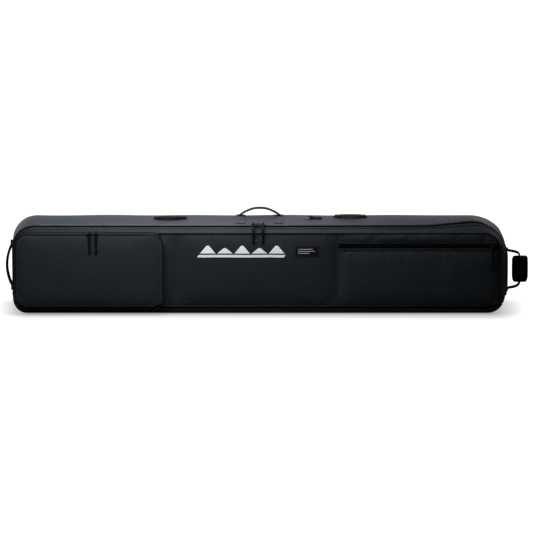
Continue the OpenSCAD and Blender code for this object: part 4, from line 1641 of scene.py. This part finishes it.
    def make_wrap(self) -> None:
        """Makes the padded wrap that the hand closes round the tow handle."""
        rows, sides = 44, 64
        z = np.linspace(0.095, 0.189, rows)
        share = (z - z[0]) / (z[-1] - z[0])
        ends = np.clip(1 - np.abs(2 * share - 1) ** 9, 0.0, 1) ** 0.5
        turn = np.linspace(0, FULL_TURN, sides + 1)
        power = 2 / 3.4
        shape_x = np.sign(np.cos(turn)) * np.abs(np.cos(turn)) ** power
        shape_y = np.sign(np.sin(turn)) * np.abs(np.sin(turn)) ** power
        width = 0.0282 - 0.0030 * np.clip(1 - share * 5, 0, 1) - 0.0012 * np.clip(share * 5 - 4, 0, 1)
        crease = 1 - 0.10 * np.exp(-((shape_x * 0.029 - 0.0075) / 0.0014) ** 2)
        x = 0.9108 + shape_x[:, None] * width[None] * (0.75 + 0.25 * ends)[None]
        y = shape_y[:, None] * 0.0108 * (0.25 + 0.75 * ends)[None] * crease[:, None]
        points = np.stack([x, y, np.broadcast_to(z[None], x.shape)], axis=2)
        points = raised(points, waves(points[..., 0] + points[..., 1], points[..., 2], 0.03, 91) * 0.0005)
        points[-1] = points[0]
        pole_low = np.broadcast_to(np.array((0.9108, 0, z[0])), (sides + 1, 1, 3))
        pole_high = np.broadcast_to(np.array((0.9108, 0, z[-1])), (sides + 1, 1, 3))
        wrap = surface("tow_wrap_padded", np.concatenate([pole_low, points, pole_high], axis=1))
        close_up(wrap)
        smooth(wrap, 60)
        self.bench.hand_over(wrap, "tow_handle", "wrap_cloth", "tow_handle_wrap", fill=0.7)
        for x_row in (0.9160, 0.9215):
            row = np.linspace((x_row, -0.0135, 0.101), (x_row, -0.0135, 0.183), 30)
            self.bench.sew("tow_handle", laid_on(row, wrap, (0, 1, 0), 0.0001), FRONT, 0.0040)


@dataclass
class InnerStraps:
    """The two straps inside that hold the board down, and their buckles."""

    bench: Workbench
    places: tuple = (-0.350, 0.350)
    depth: float = 0.0800

    def build(self) -> None:
        """Makes the straps and the buckles."""
        straps = []
        for x in self.places:
            line = np.linspace((x, self.depth, 0.016), (x, self.depth, 0.282), 60)
            line[:, 1] -= 0.0006 + 0.0004 * np.sin(line[:, 2] * 90)
            straps.append(sweep("strap", line, flat_section(0.025, 0.0018), (1, 0, 0)))
            for low in (0.020, 0.262):
                box = np.array([(x + a, self.depth - 0.0022, low + b) for a, b in
                                ((-0.010, 0), (0.010, 0), (0.010, 0.014), (-0.010, 0.014))])
                self.bench.box_cross("bag_body", box, FRONT)
        self.bench.hand_over(join("board_straps", straps), "bag_body", "strap_webbing", "inner_straps")
        sockets = []
        for name, x in zip(("left", "right"), self.places):
            y0, y1 = 0.0704, 0.0792
            shell = [block("face", (x - 0.017, y0, 0.150), (x + 0.017, y0 + 0.0017, 0.190), 0.0006,
                           groove=0.0004),
                     block("rear", (x - 0.017, y1 - 0.0017, 0.150), (x + 0.017, y1, 0.190), 0.0006),
                     block("head", (x - 0.017, y0 + 0.001, 0.177), (x + 0.017, y1 - 0.001, 0.190), 0.0008)]
            for side in (-1, 1):
                low, high = sorted((x + side * 0.0126, x + side * 0.017))
                shell.append(block("cheek", (low, y0 + 0.001, 0.150), (high, y1 - 0.001, 0.158), 0.0006))
                shell.append(block("cheek", (low, y0 + 0.001, 0.172), (high, y1 - 0.001, 0.190), 0.0006))
            sockets += shell
            plug = [block("grip", (x - 0.017, y0, 0.126), (x + 0.017, y1, 0.1492), 0.0016, groove=0.0010)]
            for side in (-1, 1):
                plug.append(block("prong", (x + side * 0.008 - 0.0028, 0.0730, 0.146),
                                  (x + side * 0.008 + 0.0028, 0.0766, 0.173), 0.0007, taper=(2, 0.7)))
            for k in range(3):
                z = 0.131 + k * 0.0055
                plug.append(block("ridge", (x - 0.009, y0 - 0.0008, z), (x + 0.009, y0 + 0.001, z + 0.002),
                                  0.0005))
            self.bench.hand_over(join(f"buckle_prongs_{name}", plug), f"buckle_{name}", "buckle_moulding",
                                 f"buckle_plug_{name}")
        self.bench.hand_over(join("buckle_shells", sockets), "bag_body", "buckle_moulding", "buckle_sockets")


@dataclass(frozen=True)
class SliderSpot:
    """Where a slider and its pull are, and how they lie."""

    name: str
    where: tuple
    pin: tuple
    tilt: float
    pull: tuple
    drop: float
    grip: float
    folds: bool


@dataclass
class Sliders:
    """The five sliders, their cord pulls with moulded grips, and the hood where two meet."""

    bench: Workbench
    form: BagForm
    spots: list = field(default_factory=list)

    def build(self) -> None:
        """Makes every slider and pull."""
        tilt = math.atan((self.form.crown(-0.056) - self.form.crown(-0.064)) / 0.008)
        z = self.form.crown(-0.060) + 0.0026
        pin = (-0.062 - 0.008 * math.sin(tilt), z + 0.008 * math.cos(tilt))
        for name, x in (("left", -0.022), ("right", 0.011)):
            self.spots.append(SliderSpot(f"main_{{}}_{name}", (x, -0.062, z), (x, *pin), tilt,
                                         ((-0.0394, -0.012),), 0.036, 0.027, False))
        for name, x in (("left", -0.591), ("right", -0.568)):
            self.spots.append(SliderSpot(f"pocket_{{}}_{name}", (x, -0.1236, 0.290), (x, -0.1236, 0.298), 0.0,
                                         ((-0.0095, -0.0015),), 0.048, 0.027, True))
        self.spots.append(SliderSpot("flat_{}", (0.811, -0.0998, 0.2422), (0.811, -0.1078, 0.2422),
                                     math.pi / 2,
                                     ((-0.0006, -0.004),), 0.052, 0.038, False))
        for spot in self.spots:
            self.make_slider(spot)
            self.make_pull(spot)
        self.make_hood(tilt)

    def make_slider(self, spot: SliderSpot) -> None:
        """Models a slider: two plates, a waist between them and the bail over the pull."""
        plates = [block("upper", (-0.010, -0.0055, 0.0032), (0.010, 0.0055, 0.0050), 0.0007, taper=(0, 0.72)),
                  block("lower", (-0.010, -0.0055, 0.0), (0.010, 0.0055, 0.0014), 0.0005, taper=(0, 0.72)),
                  block("waist", (-0.003, -0.0022, 0.001), (0.008, 0.0022, 0.0040), 0.0005)]
        for side in (-1, 1):
            plates.append(block("flange", (-0.0095, side * 0.0050 - 0.0005, 0.0024),
                                (0.0030, side * 0.0050 + 0.0005, 0.0042), 0.0003))
        bow = [(-0.0052, 0, 0.0042), (-0.0048, 0, 0.0072), (-0.0030, 0, 0.0088), (0, 0, 0.0089),
               (0.0030, 0, 0.0088), (0.0048, 0, 0.0072), (0.0052, 0, 0.0042)]
        plates.append(sweep("bail", rounded_path(bow, 22), round_section(0.0009, 8), (0, 1, 0)))
        node = spot.name.format("slider")
        piece = join(node.replace("slider", "runner"), plates)
        piece.data.transform(Matrix.Translation(spot.where) @ Matrix.Rotation(spot.tilt, 4, "X"))
        self.bench.hand_over(piece, node, "slider_metal", node, folds=spot.folds)

    def make_pull(self, spot: SliderSpot) -> None:
        """Models a pull: a loop of cord from the pin, over the edge, and the grip moulded on its ends."""
        x, y, z = spot.pin
        reach, fall = spot.pull[0]
        parts = []
        for side in (-1, 1):
            line = [(x, y, z + 0.0016), (x + side * 0.0022, y + 0.0022, z + 0.0020),
                    (x + side * 0.0026, y - 0.0030, z + 0.0034),
                    (x + side * 0.0026, y + reach * 0.6, z + fall * 0.5 + 0.0012),
                    (x + side * 0.0026, y + reach, z + fall - 0.0022),
                    (x + side * 0.0030, y + reach, z - spot.drop * 0.6),
                    (x + side * 0.0022, y + reach, z - spot.drop - 0.004)]
            if spot.tilt > 1.0:
                line = [(x, y - 0.0014, z), (x + side * 0.0022, y, z + 0.0018),
                        (x + side * 0.0028, y + 0.0008, z - 0.004), (x + side * 0.0030, y, z - 0.026),
                        (x + side * 0.0022, y, z - spot.drop - 0.004)]
            parts.append(sweep("cord", rounded_path(line, 44), round_section(0.0021, 8), (1, 0, 0)))
        top, front = z - spot.drop, y + reach
        parts.append(block("grip", (x - 0.0046, front - 0.0034, top - spot.grip),
                           (x + 0.0046, front + 0.0020, top),
                           0.0014, taper=(2, 0.7), groove=0.0006))
        for k in range(4):
            at = top - spot.grip * (0.55 + 0.1 * k)
            parts.append(block("ridge", (x - 0.0028, front - 0.0040, at - 0.0006),
                               (x + 0.0028, front - 0.0016, at + 0.0006), 0.0003))
        node = spot.name.format("pull")
        piece = join(node.replace("pull", "cord_grip"), parts)
        self.bench.hand_over(piece, node, "pull_moulding", node, folds=spot.folds)

    def make_hood(self, tilt: float) -> None:
        """Models the small hood over the place where the main sliders meet."""
        path = rounded_path([(0, -0.0088, 0.0004), (0, -0.0086, 0.0052), (0, -0.0050, 0.0084),
                             (0, 0.0, 0.0090),
                             (0, 0.0050, 0.0084), (0, 0.0086, 0.0052), (0, 0.0088, 0.0004)], 30)
        hood = sweep("slider_hood", path, flat_section(0.0125, 0.0012), (1, 0, 0))
        place = (-0.0055, -0.062, self.form.crown(-0.060) + 0.0015)
        hood.data.transform(Matrix.Translation(place) @ Matrix.Rotation(tilt, 4, "X"))
        self.bench.hand_over(hood, "lid", "strap_webbing", "zip_garage")


@dataclass
class Studio:
    """The pale floor, the soft lights and the camera."""

    target: tuple = (0.0235, -0.095, 0.170)
    distance: float = 16.5
    elevation: float = 12.0
    lens: float = 320.1
    painted_shadow_glow: float = 0.30
    footprint: tuple = (0.80, 0.075)
    sky: tuple = (0.05, 0.50)

    def build(self) -> None:
        """Makes the studio."""
        self.make_camera()
        self.make_floor()
        self.make_lights()
        bpy.context.scene.view_settings.view_transform = "Standard"

    def make_camera(self) -> None:
        """Places the camera in front of the bag, a little above it."""
        rise = math.radians(self.elevation)
        aim = Vector(self.target)
        data = bpy.data.cameras.new("camera")
        data.lens = self.lens
        camera = bpy.data.objects.new("camera", data)
        camera.location = aim + Vector((0, -math.cos(rise), math.sin(rise))) * self.distance
        camera.rotation_euler = (math.pi / 2 - rise, 0, 0)
        bpy.context.collection.objects.link(camera)
        bpy.context.scene.camera = camera

    def make_floor(self) -> None:
        """Makes the white floor, whose glow for the camera is painted weaker round the bag's footprint: a
        painted contact shadow.
        """
        deselect_all()
        bpy.ops.mesh.primitive_plane_add(size=80.0, location=(0, 0, -0.0004))
        floor = new_piece("studio_floor")
        material = bpy.data.materials.new("studio_white")
        material.use_nodes = True
        tree = material.node_tree
        shader = tree.nodes["Principled BSDF"]
        place = add_node(tree, "TexCoord").outputs["Object"]
        parts = add_node(tree, "SeparateXYZ", {0: place})
        beside = [maths(tree, "MAXIMUM",
                        maths(tree, "SUBTRACT", maths(tree, "ABSOLUTE", parts.outputs[k]), half), 0.0)
                  for k, half in enumerate(self.footprint)]
        away = maths(tree, "SQRT", maths(tree, "ADD", *(maths(tree, "MULTIPLY", v, v) for v in beside)))
        # Painted contact shadow: the glow falls from 1.1 to 0.30 within 0.15 m of the bag's footprint, so the
        # floor reads darker round the bag.
        glow = add_node(tree, "MapRange", {0: away, 1: 0.0, 2: 0.15, 3: self.painted_shadow_glow, 4: 1.1}).outputs[0]
        seen = add_node(tree, "LightPath").outputs["Is Camera Ray"]
        tree.links.new(maths(tree, "MULTIPLY", glow, seen), shader.inputs["Emission Strength"])
        shader.inputs["Emission Color"].default_value = (1, 1, 1, 1)
        shader.inputs["Base Color"].default_value = (0.16, 0.16, 0.16, 1)
        shader.inputs["Roughness"].default_value = 0.9
        shader.inputs["Specular IOR Level"].default_value = 0.0
        floor.data.materials.append(material)

    def make_lights(self) -> None:
        """Lights the bag from a large box overhead, a key light in front and a pale surround."""
        for name, place, size, energy, tilt in (
                ("overhead", (-0.12, 0.15, 1.15), (0.9, 0.7), 5.6, 0.0),
                ("front_key", (-0.45, -0.55, 1.20), (1.0, 0.5), 24.0, 22.0)):
            data = bpy.data.lights.new(name, "AREA")
            data.shape = "RECTANGLE"
            data.size, data.size_y = size
            data.energy = energy
            light = bpy.data.objects.new(name, data)
            light.location = place
            light.rotation_euler = (math.radians(tilt), 0, 0)
            bpy.context.collection.objects.link(light)
        world = bpy.data.worlds.new("surround")
        world.use_nodes = True
        bpy.context.scene.world = world
        tree = world.node_tree
        way = add_node(tree, "SeparateXYZ", {0: add_node(tree, "TexCoord").outputs["Generated"]})
        glow = add_node(tree, "MapRange",
                        {0: way.outputs[1], 1: -0.6, 2: 0.9, 3: self.sky[0], 4: self.sky[1]}).outputs[0]
        seen = add_node(tree, "LightPath").outputs["Is Camera Ray"]
        strength = maths(tree, "MAXIMUM", seen, glow)
        tree.links.new(strength, tree.nodes["Background"].inputs["Strength"])
        tree.nodes["Background"].inputs["Color"].default_value = (1, 1, 1, 1)


def main() -> None:
    """Builds the studio and the bag."""
    logging.basicConfig(level=logging.INFO, format="%(name)s %(message)s")
    Studio().build()
    bench, form = Workbench(Finishes()), BagForm()
    Tub(bench, form).build()
    Lid(bench, form).build()
    BoxPocket(bench).build()
    Handles(bench, form).build()
    InnerStraps(bench).build()
    Sliders(bench, form).build()
    bench.make_stitches()


if __name__ == "__main__":
    main()
